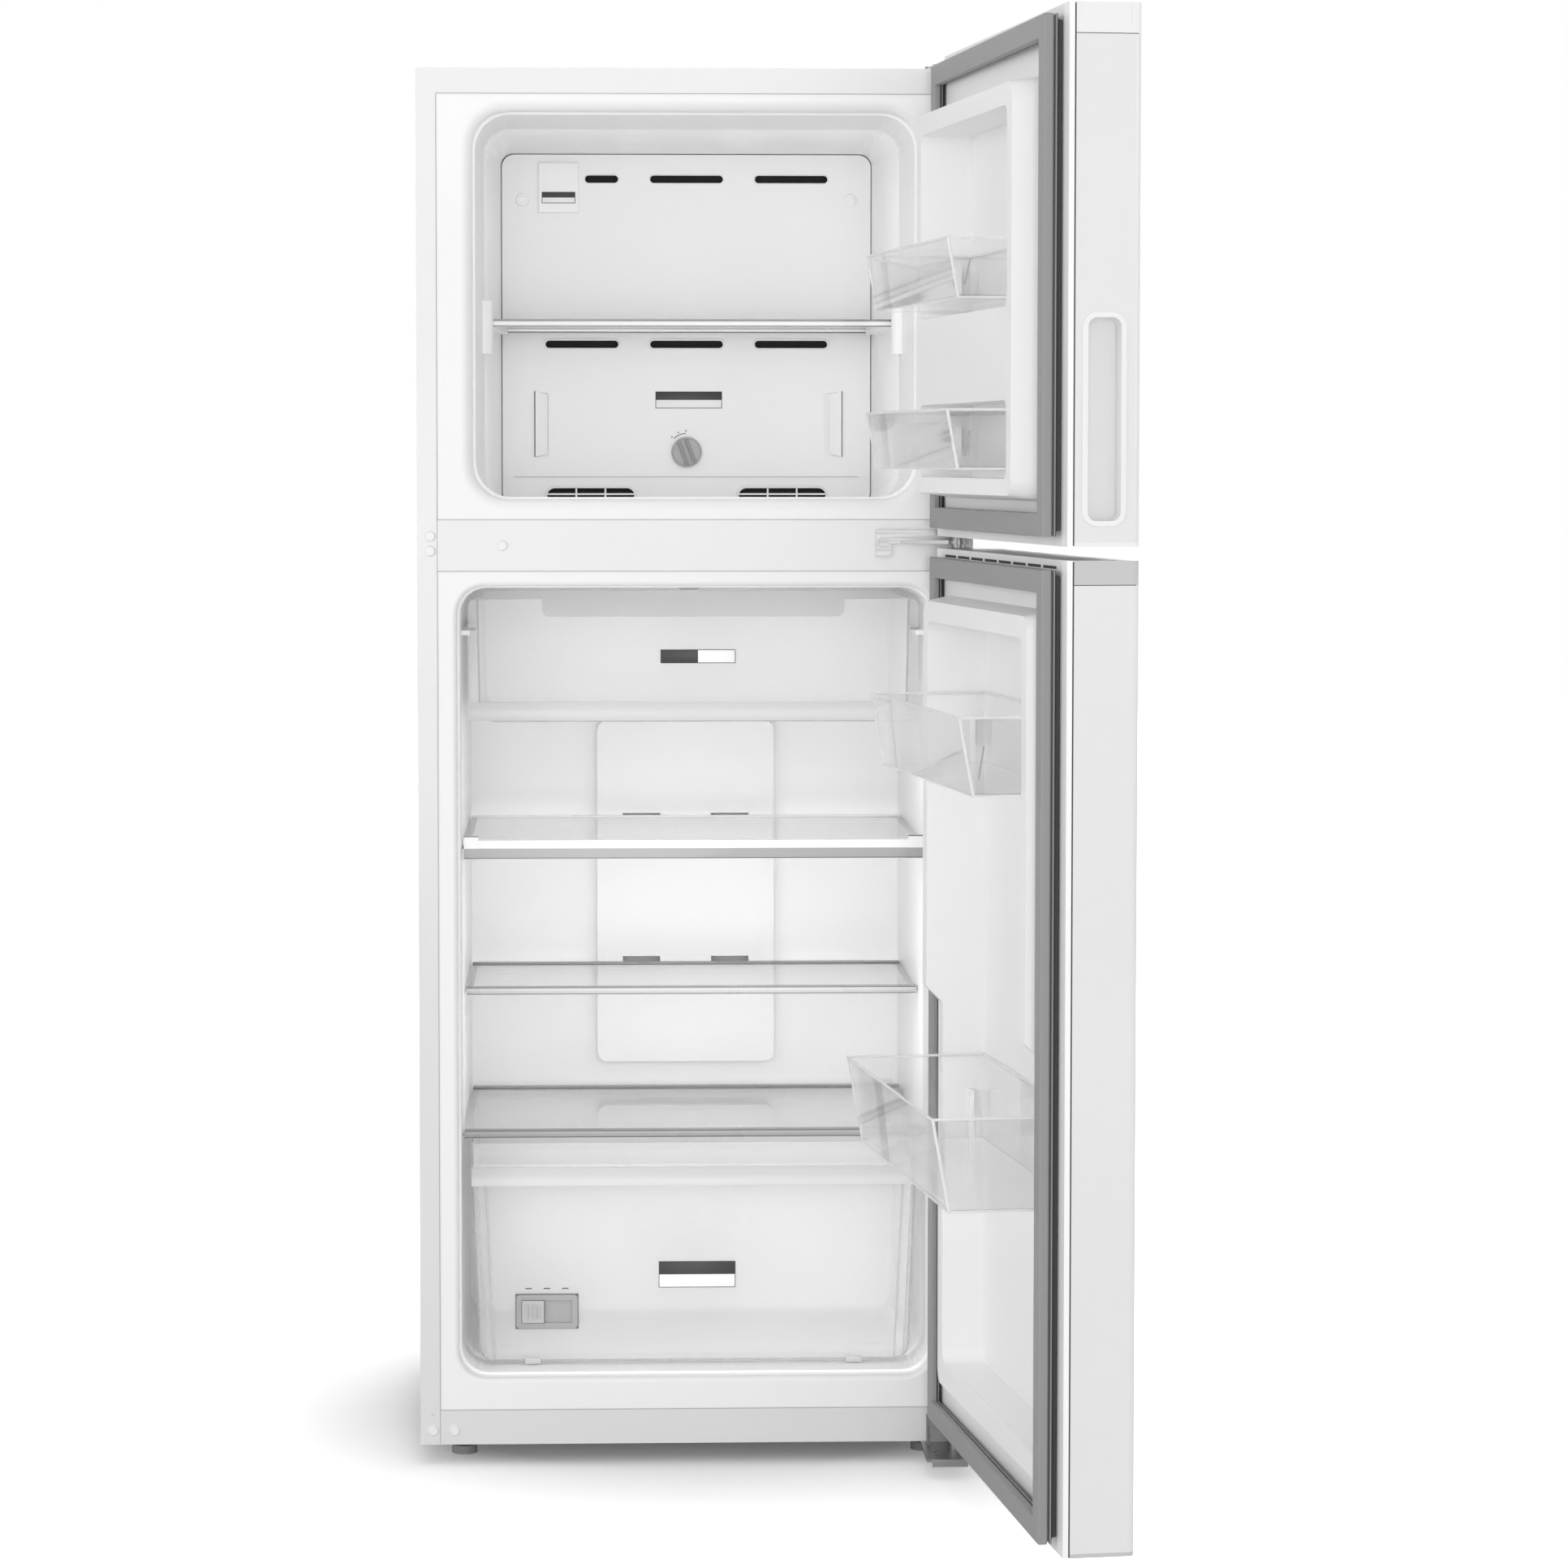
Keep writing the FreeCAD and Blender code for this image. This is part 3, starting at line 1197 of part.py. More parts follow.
def freezer_control_knob():
    """The air control: a round cap with a raised bar, on a shaft through the back panel."""
    z = cover_bottom() + KNOB_RISE
    face = COVER_FRONT - RUNNER_GAP
    cap = rod(0, face, z, KNOB_RADIUS, KNOB_DEPTH * 0.55, V(0, -1, 0))
    bar = box(-KNOB_RADIUS * 0.92, KNOB_RADIUS * 0.92, face - KNOB_DEPTH, face - 1, z - 4, z + 4)
    bar = bar.makeFillet(1.5, [e for e in bar.Edges if e.BoundBox.YMax < face - KNOB_DEPTH + 0.1])
    shaft = rod(0, face - 1, z, KNOB_SHAFT_RADIUS, RUNNER_GAP + COVER_WALL + 8, V(0, 1, 0))
    return cap.fuse([bar, shaft]).removeSplitter()


def icemaker_port_cover():
    """The small cover over the place where an ice maker plugs in."""
    left = -cover_half() + ICE_COVER_INSET
    high = cover_top() - ICE_COVER_DROP
    front = COVER_FRONT - ICE_COVER_DEPTH
    plate = box(left, left + ICE_COVER_WIDTH, front, COVER_FRONT, high - ICE_COVER_HEIGHT, high)
    return plate.makeChamfer(ICE_COVER_DEPTH / 3, [e for e in plate.Edges if e.BoundBox.YMax < front + 0.1])


def finned_coil(x0, x1, y0, y1, z0, z1, rows):
    """A coil block: thin fins on a core, with the bends of its level tubes at both ends."""
    y = (y0 + y1) / 2
    core = box(x0, x1, y - TUBE_RADIUS, y + TUBE_RADIUS, z0 + FIN_MARGIN, z1 - FIN_MARGIN)
    pieces = []
    pitch = (x1 - x0 - FIN) / (FIN_COUNT - 1)
    for i in range(FIN_COUNT):
        pieces.append(box(x0 + i * pitch, x0 + i * pitch + FIN, y0, y1, z0, z1))
    step = (z1 - z0) / rows
    for i in range(rows):
        z = z0 + (i + 0.5) * step
        r = TUBE_RADIUS
        pieces.append(box(x0 - BEND_REACH, x1 + BEND_REACH, y - r, y + r, z - r, z + r))
    return core.fuse(pieces).removeSplitter()


def evaporator_coil():
    low = cover_bottom() + EVAPORATOR_RISE
    y1 = FREEZER_DEPTH - 2
    half = EVAPORATOR_WIDTH / 2
    return finned_coil(-half, half, y1 - EVAPORATOR_DEPTH, y1, low, low + EVAPORATOR_HEIGHT, 4)


def fan_place():
    return cover_bottom() + EVAPORATOR_RISE + EVAPORATOR_HEIGHT + FAN_RADIUS + 14


def evaporator_fan_motor():
    """The motor behind the fan, on a bridge fixed to the liner's back wall."""
    z = fan_place()
    back = FREEZER_DEPTH
    body = rod(0, back, z, FAN_HUB_RADIUS + 4, FAN_MOTOR_DEPTH, V(0, -1, 0))
    bridge = box(-FAN_RADIUS - 12, FAN_RADIUS + 12, back - 5, back, z - 8, z + 8)
    shaft = rod(0, back - FAN_MOTOR_DEPTH, z, FAN_SHAFT_RADIUS, FAN_DEPTH * 0.6, V(0, -1, 0))
    return body.fuse([bridge, shaft]).removeSplitter()


def axial_fan(centre, along, depth):
    """A fan with twisted blades about its hub, bored for the motor's shaft."""
    hub = Part.makeCylinder(FAN_HUB_RADIUS, depth)
    blades = []
    for i in range(FAN_BLADES):
        corner = V(FAN_HUB_RADIUS - 4, -0.9, -depth * 0.625)
        root = Part.makeBox(FAN_RADIUS - FAN_HUB_RADIUS + 4, 1.8, depth * 1.25, corner)
        root.rotate(V(0, 0, 0), V(1, 0, 0), 48)
        root.translate(V(0, 0, depth / 2))
        root.rotate(V(0, 0, 0), V(0, 0, 1), i * 360 / FAN_BLADES)
        blades.append(root)
    across = 2 * FAN_RADIUS
    fan = hub.fuse(blades).common(Part.makeBox(across, across, depth, V(-FAN_RADIUS, -FAN_RADIUS, 0)))
    fan = fan.cut(Part.makeCylinder(FAN_SHAFT_RADIUS + SHAFT_CLEARANCE, depth * 0.7))
    fan.Placement = FreeCAD.Placement(centre, FreeCAD.Rotation(V(0, 0, 1), along))
    return fan


def evaporator_fan():
    start = FREEZER_DEPTH - FAN_MOTOR_DEPTH - 1
    return axial_fan(V(0, start, fan_place()), V(0, -1, 0), FAN_DEPTH)


# ---- shelves ----
def shelf_glass(half_at, rise, front, back):
    """A glass pane whose sides follow the liner's walls, lying on the ribs."""
    f = half_at(front) - SHELF_SIDE_GAP
    b = half_at(back) - SHELF_SIDE_GAP
    front += TRIM_WALL
    back -= TRIM_WALL
    outline = polygon([V(-f, front, rise), V(f, front, rise), V(b, back, rise), V(-b, back, rise)])
    return prism(outline, V(0, 0, GLASS))


def shelf_trim(half_at, rise, front, back, front_drop):
    """The moulded front and back trims, each folded over an edge of the glass, as wide as the glass.

    A deep front trim ends in two brackets.
    """
    trims = []
    for y, inward, drop in ((front, 1, front_drop), (back, -1, TRIM_DROP)):
        y1 = y + inward * TRIM_WALL
        y2 = y + inward * TRIM_LAP
        half = half_at(max(y, y2)) - SHELF_SIDE_GAP
        high = rise + GLASS + TRIM_WALL
        low = rise - drop
        outer = polygon([
            V(-half, y, low), V(-half, y, high), V(-half, y2, high), V(-half, y2, rise + GLASS),
            V(-half, y1, rise + GLASS), V(-half, y1, rise), V(-half, y2, rise),
            V(-half, y2, rise - TRIM_WALL), V(-half, y1, rise - TRIM_WALL), V(-half, y1, low),
        ])
        trim = prism(outer, V(2 * half, 0, 0))
        if drop > TRIM_DROP:
            ends = []
            for x in (-half, half - BRACKET_WIDTH):
                ends.append(box(x, x + BRACKET_WIDTH, y - TRIM_WALL, y1, low, high + BRACKET_RISE))
                ends.append(box(x, x + BRACKET_WIDTH, y, y2, low, rise - TRIM_WALL))
            trim = trim.fuse(ends).removeSplitter()
        trims.append(trim)
    return Part.makeCompound(trims)


# ---- drawers ----
def crisper_half():
    return fridge_half_at(CRISPER_FRONT + CRISPER_DEPTH) - DRAWER_SIDE_GAP


def drawer_profile(half, low, high, taper, grow, y):
    """The front outline of a drawer, narrower at the bottom and open at the top."""
    corners = [
        V(-half + taper + grow, y, low + grow), V(half - taper - grow, y, low + grow),
        V(half - grow, y, high), V(-half + grow, y, high),
    ]
    rise = V(0, 0, 60)
    return rounded_outline([corners[0], corners[1], corners[2] + rise, corners[3] + rise], DRAWER_CORNER - grow)


def crisper_drawer():
    """The clear vegetable drawer: drafted sides, rounded bottom corners, a rim along the top and feet."""
    half = crisper_half()
    low = FRIDGE_FLOOR + MOUTH_STEP + CRISPER_LIFT
    high = low + CRISPER_HEIGHT
    outer = prism(drawer_profile(half, low, high, CRISPER_TAPER, 0, CRISPER_FRONT), V(0, CRISPER_DEPTH, 0))
    inner = prism(
        drawer_profile(half, low, high, CRISPER_TAPER, DRAWER_WALL, CRISPER_FRONT + DRAWER_WALL),
        V(0, CRISPER_DEPTH - 2 * DRAWER_WALL, 0),
    )
    keep = box(-HALF, HALF, 0, CABINET_DEPTH, low, high)
    shell = outer.cut(inner).common(keep)
    ribs = []
    for side in (-1, 1):
        for y in (CRISPER_FRONT + CRISPER_FOOT_PITCH, CRISPER_FRONT + 2 * CRISPER_FOOT_PITCH):
            x = side * (half - CRISPER_TAPER - 34)
            ribs.append(box(x - 12, x + 12, y, y + 6, low - CRISPER_LIFT + RUNNER_GAP, low + DRAWER_WALL))
    handle_low = low + CRISPER_HEIGHT * 0.83
    pull = drawer_handle(half - CRISPER_TAPER * 0.2 - 2, CRISPER_FRONT, handle_low, HANDLE_HEIGHT)
    return shell.fuse(ribs + [pull]).removeSplitter()


def drawer_handle(half, front, low, height):
    """A full-width pull: a hooked strip along the drawer's front."""
    profile = polygon([
        V(-half, front, low), V(-half, front - HANDLE_DEPTH, low + 3), V(-half, front - HANDLE_DEPTH, low + height),
        V(-half, front - HANDLE_DEPTH + 2.5, low + height), V(-half, front - HANDLE_DEPTH + 2.5, low + 6),
        V(-half, front, low + 4),
    ])
    return prism(profile, V(2 * half, 0, 0))


def humidity_place():
    """The middle of the humidity control's plate on the crisper's front."""
    return -crisper_half() + CRISPER_TAPER + 74, FRIDGE_FLOOR + MOUTH_STEP + CRISPER_LIFT + HUMIDITY_RISE


def humidity_plate():
    """The plate on the crisper's front with the slot that the humidity slider runs in."""
    x, z = humidity_place()
    w = HUMIDITY_WIDTH / 2
    h = HUMIDITY_HEIGHT / 2
    face = CRISPER_FRONT
    plate = prism(
        rounded_outline(
            [V(x - w, face, z - h), V(x + w, face, z - h), V(x + w, face, z + h), V(x - w, face, z + h)], 4
        ),
        V(0, -HUMIDITY_THICKNESS, 0),
    )
    rim = HUMIDITY_RIM
    track = box(x - w + rim, x + w - rim, face - HUMIDITY_THICKNESS - 1, face - 1, z - h + rim, z + h - rim)
    return plate.cut(track)


def humidity_slider():
    """The thumb slider in the plate's track."""
    x, z = humidity_place()
    track = HUMIDITY_WIDTH - 2 * HUMIDITY_RIM
    height = HUMIDITY_HEIGHT - 2 * HUMIDITY_RIM - 2 * RUNNER_GAP
    width = track - HUMIDITY_TRAVEL - 3 * RUNNER_GAP
    left = x - track / 2 + RUNNER_GAP
    face = CRISPER_FRONT - 1 - RUNNER_GAP
    body = box(left, left + width, face - HUMIDITY_THICKNESS, face, z - height / 2, z + height / 2)
    ridges = []
    front = face - HUMIDITY_THICKNESS
    half = HUMIDITY_RIDGE / 2
    for i in range(HUMIDITY_RIDGES):
        rx = left + width * (i + 1) / (HUMIDITY_RIDGES + 1)
        ridges.append(
            box(rx - half, rx + half, front - HUMIDITY_RIDGE_RISE, front, z - height / 3, z + height / 3)
        )
    return body.fuse(ridges)


def pantry_low():
    return FRIDGE_TOP - PANTRY_TOP_GAP - PANTRY_HEIGHT


def pantry_drawer():
    """The shallow drawer under the fridge's ceiling, with a lowered front and runners on both sides."""
    half = crisper_half()
    low = pantry_low()
    high = low + PANTRY_HEIGHT
    body_half = half - PANTRY_BODY_INSET
    back = PANTRY_FRONT + PANTRY_DEPTH
    outer = prism(drawer_profile(body_half, low, high, 4, 0, PANTRY_FRONT), V(0, PANTRY_DEPTH, 0))
    inner = prism(
        drawer_profile(body_half, low, high, 4, DRAWER_WALL, PANTRY_FRONT + DRAWER_WALL),
        V(0, PANTRY_DEPTH - 2 * DRAWER_WALL, 0),
    )
    shell = outer.cut(inner).common(box(-HALF, HALF, 0, CABINET_DEPTH, low, high))
    face = prism(
        rounded_outline(
            [
                V(-half, PANTRY_FRONT, low), V(half, PANTRY_FRONT, low), V(half, PANTRY_FRONT, high),
                V(-half, PANTRY_FRONT, high),
            ],
            8,
        ),
        V(0, DRAWER_WALL, 0),
    )
    runners = []
    for side in (-1, 1):
        near, far = sorted((side * (body_half - 1), side * half))
        under = high - PANTRY_RUNNER_DROP
        runners.append(box(near, far, PANTRY_FRONT + DRAWER_WALL, back, under, under + 3))
    notch_half = FRIDGE_FRONT_HALF - PANTRY_NOTCH_INSET
    notch = rounded_outline(
        [
            V(-notch_half, PANTRY_FRONT - 5, high - PANTRY_NOTCH),
            V(notch_half, PANTRY_FRONT - 5, high - PANTRY_NOTCH),
            V(notch_half, PANTRY_FRONT - 5, high + 30), V(-notch_half, PANTRY_FRONT - 5, high + 30),
        ],
        8,
    )
    pull = drawer_handle(half - 4, PANTRY_FRONT, low + 2, HANDLE_HEIGHT * 0.8)
    whole = shell.fuse([face, pull] + runners).removeSplitter()
    return whole.cut(prism(notch, V(0, DRAWER_WALL + 10, 0)))


def pantry_rails():
    """The two rails on the fridge's side walls that the upper drawer's runners slide on."""
    top = pantry_low() + PANTRY_HEIGHT - PANTRY_RUNNER_DROP - RUNNER_GAP
    y0 = PANTRY_FRONT + PANTRY_RAIL_START
    y1 = SHELF_BACK
    return side_ledges(FRIDGE_FRONT_HALF, FRIDGE_BACK_HALF, FRIDGE_DEPTH, top, y0, y1)


# ---- fridge fittings ----
def air_duct_cover():
    """The cover over the cold air duct on the fridge's back wall, with a row of outlets."""
    low = FRIDGE_BOTTOM + CRISPER_SHELF_RISE + 30
    high = pantry_low() - 20
    front = FRIDGE_DEPTH - DUCT_DEPTH
    block = prism(rectangle_xz(DUCT_HALF, low, high, front, 12), V(0, DUCT_DEPTH, 0))
    room = prism(
        rectangle_xz(DUCT_HALF - COVER_WALL, low + COVER_WALL, high - COVER_WALL, front + COVER_WALL, 9),
        V(0, DUCT_DEPTH, 0),
    )
    cover = block.cut(room)
    cuts = []
    for level in (0.3, 0.72):
        z = low + (high - low) * level
        for side in (-1, 1):
            x = side * DUCT_HALF * 0.5
            cuts.append(box(x - 22, x + 22, front - 1, front + COVER_WALL + 1, z - 4, z + 4))
    return cover.cut(cuts)


def light_lens():
    """The small clear lens of the ceiling light."""
    y = LIGHT_DEPTH
    top = FRIDGE_CEILING - MOUTH_STEP
    lens = box(-LENS_HALF, LENS_HALF, y - LENS_HALF, y + LENS_HALF, top - LENS_DROP, top)
    return lens.makeFillet(2.5, [e for e in lens.Edges if e.BoundBox.ZMax < top - LENS_DROP + 0.1])


# ---- machine compartment ----
def compressor():
    """The hermetic compressor: a welded dome shell on a foot plate with rubber mounts."""
    x = HALF - COMPRESSOR_INSET
    y = (MACHINE_FRONT + CABINET_DEPTH) / 2 + 4
    low = PLATE_TOP + COMPRESSOR_FOOT
    r = COMPRESSOR_RADIUS
    h = COMPRESSOR_HEIGHT
    seam = r + 2.5
    middle = h * 0.55
    base = low + COMPRESSOR_FOOT_PLATE
    shell = turned(V(x, y, base), V(0, 0, 1), [
        (0, 0), (r, 0), (r, middle), (seam, middle), (seam, middle + 5), (r, middle + 5),
        (r, h * 0.82), (r * 0.72, h), (0, h),
    ])
    foot = box(x - r - 10, x + r + 10, y - r * 0.9, y + r * 0.9, low, base)
    mounts = []
    for sx in (-1, 1):
        for sy in (-1, 1):
            mx = x + sx * (r + 2)
            my = y + sy * r * 0.7
            mounts.append(box(mx - 6, mx + 6, my - 6, my + 6, PLATE_TOP, low))
    return shell.fuse([foot] + mounts).removeSplitter()


def condenser():
    """The finned condenser beside the compressor, standing on the base."""
    x0 = -HALF + CONDENSER_INSET
    y0 = MACHINE_FRONT + CONDENSER_SETBACK
    low = PLATE_TOP + DRAIN_PAN_HEIGHT + 6
    coil = finned_coil(x0, x0 + CONDENSER_WIDTH, y0, y0 + CONDENSER_DEPTH, low, low + CONDENSER_HEIGHT, 4)
    legs = []
    for x in (x0, x0 + CONDENSER_WIDTH - FIN):
        legs.append(box(x, x + FIN, y0 + FIN_MARGIN, y0 + CONDENSER_DEPTH - FIN_MARGIN, PLATE_TOP, low + 1))
    return coil.fuse(legs).removeSplitter()


def drain_pan():
    """The tray under the condenser that catches the defrost water."""
    x0 = -HALF + CONDENSER_INSET + 3
    x1 = x0 + CONDENSER_WIDTH - 6 - FIN
    y0 = MACHINE_FRONT + 16
    y1 = CABINET_DEPTH - ROLLER_SETBACK - ROLLER_RADIUS - 8
    outer = prism(rectangle_xy(x0, x1, y0, y1, PLATE_TOP, 8), V(0, 0, DRAIN_PAN_HEIGHT))
    inner = prism(rectangle_xy(x0 + 2, x1 - 2, y0 + 2, y1 - 2, PLATE_TOP + 2, 6), V(0, 0, DRAIN_PAN_HEIGHT))
    return outer.cut(inner)


def condenser_fan_centre():
    x = -HALF + CONDENSER_INSET + CONDENSER_WIDTH + BEND_REACH + FAN_CLEARANCE + FAN_DEPTH
    y = MACHINE_FRONT + CONDENSER_SETBACK + CONDENSER_DEPTH + 4
    return V(x, y, PLATE_TOP + DRAIN_PAN_HEIGHT + 6 + CONDENSER_HEIGHT / 2)


def condenser_fan():
    return axial_fan(condenser_fan_centre(), V(-1, 0, 0), FAN_DEPTH)


def condenser_fan_motor():
    """The motor of the condenser's fan, on a bracket that stands on the base."""
    c = condenser_fan_centre()
    start = c.x + 1
    body = rod(start, c.y, c.z, FAN_HUB_RADIUS + 4, FAN_MOTOR_DEPTH, V(1, 0, 0))
    shaft = rod(start - FAN_DEPTH * 0.6, c.y, c.z, FAN_SHAFT_RADIUS, FAN_DEPTH * 0.6 + 2, V(1, 0, 0))
    post = box(start + 8, start + 12, c.y - 14, c.y + 14, PLATE_TOP, c.z)
    return body.fuse([shaft, post]).removeSplitter()


def machine_cover():
    """The panel over the machine compartment, with rows of vent slots and the cord's hole."""
    across = HALF - BACK_FLANGE - 1
    back = CABINET_DEPTH
    low = PLATE_TOP + BASE_UPSTAND
    high = machine_ceiling_rise() - 2
    panel = box(-across, across, back - STEEL - COVER_SHEET, back - STEEL, low, high)
    cuts = []
    for group in (-1, 1):
        for line in range(VENT_LINES):
            z = low + 40 + line * VENT_PITCH
            x = group * across * 0.5
            cuts.append(box(x - VENT_LENGTH / 2, x + VENT_LENGTH / 2, back - 10, back + 1, z, z + VENT_PITCH * 0.45))
    cuts.append(rod(GLAND_OFFSET, back - 20, low + GLAND_RISE, GLAND_RADIUS - 2, 30, V(0, 1, 0)))
    return panel.cut(cuts)


def cord_gland():
    """The bush in the machine cover that a mains cord passes through."""
    low = PLATE_TOP + BASE_UPSTAND
    back = CABINET_DEPTH - STEEL
    outer = GLAND_RADIUS
    neck = GLAND_RADIUS - 2
    bore = GLAND_BORE_RADIUS
    sheet = COVER_SHEET
    return turned(V(GLAND_OFFSET, back - sheet - GLAND_FLANGE, low + GLAND_RISE), V(0, 1, 0), [
        (bore, 0), (outer, 0), (outer, GLAND_FLANGE), (neck, GLAND_FLANGE), (neck, GLAND_FLANGE + sheet),
        (outer, GLAND_FLANGE + sheet), (neck, GLAND_LENGTH), (bore, GLAND_LENGTH),
    ])


# ---- the doors' own pieces, put together ----
def hinge_notch():
    """The room in the freezer door's top corner that the top hinge's arm turns in."""
    return box(HINGE_X - HINGE_ARM - 3, HALF + 1, HINGE_Y - NOTCH_REACH, 0, CABINET_TOP - NOTCH_GAP, FREEZER_DOOR_TOP + 1)


def freezer_door():
    """All the pieces of the freezer door, drawn shut."""
    low = FREEZER_DOOR_BOTTOM
    high = FREEZER_DOOR_TOP
    cap_low = high - FREEZER_CAP
    notch = hinge_notch()
    floor = CABINET_TOP - NOTCH_GAP
    top_bush = bushing(floor, True)
    low_bush = bushing(low, False)
    bush_room = [
        rod(HINGE_X, HINGE_Y, floor, BUSHING_RADIUS, BUSHING_LENGTH, V(0, 0, -1)),
        rod(HINGE_X, HINGE_Y, low, BUSHING_RADIUS, BUSHING_LENGTH),
    ]
    field = box(
        -HALF - 1, -HALF + CAP_FIELD, DOOR_OUTER + CAP_FIELD_FRONT, DOOR_INNER - CAP_FIELD_BACK,
        cap_low + CAP_FIELD_RISE, high + 1,
    )
    cup_outer, rim, cup_inner = handle_pocket()
    foam = door_foam(low, high, FREEZER_CAP, freezer_frame, high - floor + CAP_WALL)
    liner = door_liner(low, high, freezer_frame, foam)
    liner = liner.cut(notch)
    pieces = {
        "freezer_door_skin": door_skin(low + BOTTOM_CAP, cap_low).cut(cup_outer),
        "freezer_door_caps": Part.makeCompound([
            door_cap(cap_low, high, True, high - floor + CAP_WALL).cut([notch, field] + bush_room),
            door_cap(low, low + BOTTOM_CAP, False, BOTTOM_CAP).cut(bush_room),
        ]),
        "freezer_door_liner": liner,
        "freezer_door_foam": foam.cut([cup_outer] + bush_room),
        "freezer_door_gasket": gasket(low, high),
        "freezer_door_grip": cup_outer.fuse(rim).cut(cup_inner),
        "freezer_door_bushings": Part.makeCompound([top_bush, low_bush]),
        "freezer_upper_bin": door_bin(freezer_frame, bin_places(freezer_frame)[0]),
        "freezer_lower_bin": door_bin(freezer_frame, bin_places(freezer_frame)[1]),
    }
    return {name: swing(shape) for name, shape in pieces.items()}


def fridge_door():
    """All the pieces of the fridge door, drawn shut."""
    low = FRIDGE_DOOR_BOTTOM
    high = FRIDGE_DOOR_TOP
    cap_low = high - FRIDGE_CAP
    bush_room = [
        rod(HINGE_X, HINGE_Y, high, BUSHING_RADIUS, BUSHING_LENGTH, V(0, 0, -1)),
        rod(HINGE_X, HINGE_Y, low, BUSHING_RADIUS, BUSHING_LENGTH),
    ]
    foam = door_foam(low, high, FRIDGE_CAP, fridge_frame, CAP_WALL)
    pieces = {
        "fridge_door_skin": door_skin(low + BOTTOM_CAP, cap_low),
        "fridge_door_caps": Part.makeCompound([
            door_cap(cap_low, high, True, CAP_WALL).cut(bush_room),
            door_cap(low, low + BOTTOM_CAP, False, BOTTOM_CAP).cut(bush_room),
        ]),
        "fridge_door_liner": door_liner(low, high, fridge_frame, foam),
        "fridge_door_foam": foam.cut(bush_room),
        "fridge_door_gasket": gasket(low, high),
        "fridge_door_bushings": Part.makeCompound([bushing(high, True), bushing(low, False)]),
        "fridge_small_bin": door_bin(fridge_frame, bin_places(fridge_frame)[0]),
        "fridge_large_bin": door_bin(fridge_frame, bin_places(fridge_frame)[1]),
    }
    return {name: swing(shape) for name, shape in pieces.items()}


# ---- everything that is written out ----
def cabinet():
    """The cabinet and all that stays with it."""
    parts = {
        "outer_cabinet": outer_cabinet(),
        "back_panel": back_panel(),
        "base_frame": base_frame(),
        "middle_rail": middle_rail(),
        "bottom_rail": bottom_rail(),
        "freezer_liner": freezer_liner(),
        "fridge_liner": fridge_liner(),
        "cabinet_foam": foam_insulation(),
        "hole_plugs": hole_plugs(),
        "top_hinge": top_hinge(),
        "middle_hinge": middle_hinge(),
        "bottom_hinge": bottom_hinge(),
        "evaporator_cover": evaporator_cover(),
        "evaporator_coil": evaporator_coil(),
        "evaporator_fan_motor": evaporator_fan_motor(),
        "icemaker_port_cover": icemaker_port_cover(),
        "air_duct_cover": air_duct_cover(),
        "light_lens": light_lens(),
        "compressor": compressor(),
        "condenser": condenser(),
        "condenser_fan_motor": condenser_fan_motor(),
        "drain_pan": drain_pan(),
        "machine_cover": machine_cover(),
        "cord_gland": cord_gland(),
    }
    parts["freezer_shelf_glass"] = shelf_glass(
        freezer_half_at, FREEZER_BOTTOM + FREEZER_SHELF_RISE, FREEZER_SHELF_FRONT, FREEZER_SHELF_BACK
    )
    parts["freezer_shelf_trim"] = shelf_trim(
        freezer_half_at, FREEZER_BOTTOM + FREEZER_SHELF_RISE, FREEZER_SHELF_FRONT, FREEZER_SHELF_BACK, TRIM_DROP
    )
    for name, rise, front, drop in (
        ("upper_shelf", UPPER_SHELF_RISE, UPPER_SHELF_FRONT, UPPER_TRIM_DROP),
        ("middle_shelf", MIDDLE_SHELF_RISE, MIDDLE_SHELF_FRONT, TRIM_DROP),
        ("crisper_shelf", CRISPER_SHELF_RISE, CRISPER_SHELF_FRONT, TRIM_DROP),
    ):
        parts[name + "_glass"] = shelf_glass(fridge_half_at, FRIDGE_BOTTOM + rise, front, SHELF_BACK)
        parts[name + "_trim"] = shelf_trim(fridge_half_at, FRIDGE_BOTTOM + rise, front, SHELF_BACK, drop)
    return parts


def moving_pieces():
    """The drawers, the knob, the slider, the fans, the legs and the rollers."""
    parts = {
        "crisper_drawer": crisper_drawer(),
        "humidity_plate": humidity_plate(),
        "humidity_slider": humidity_slider(),
        "pantry_drawer": pantry_drawer(),
        "freezer_control_knob": freezer_control_knob(),
        "evaporator_fan": evaporator_fan(),
        "condenser_fan": condenser_fan(),
    }
    for side, place in zip(("left", "right"), leg_places()):
        parts[side + "_leveling_leg"] = leveling_leg(place)
    for side, x in zip(("left", "right"), roller_places()):
        parts[side + "_rear_roller"] = roller(x)
    return parts


def main():
    os.makedirs("parts", exist_ok=True)
    for group in (cabinet(), moving_pieces(), freezer_door(), fridge_door()):
        for name, shape in group.items():
            shape.exportStep(os.path.join("parts", name + ".step"))


main()
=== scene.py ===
"""Looks for a top freezer refrigerator with both doors standing open.

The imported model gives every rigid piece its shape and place. This script finishes its surfaces,
adds the folded seals, tags, bin edges, knob, screws and small trims, and sets up the studio.
Pieces that ride on a door are worked out with the door shut and then turned open with it.
"""
import json
import math

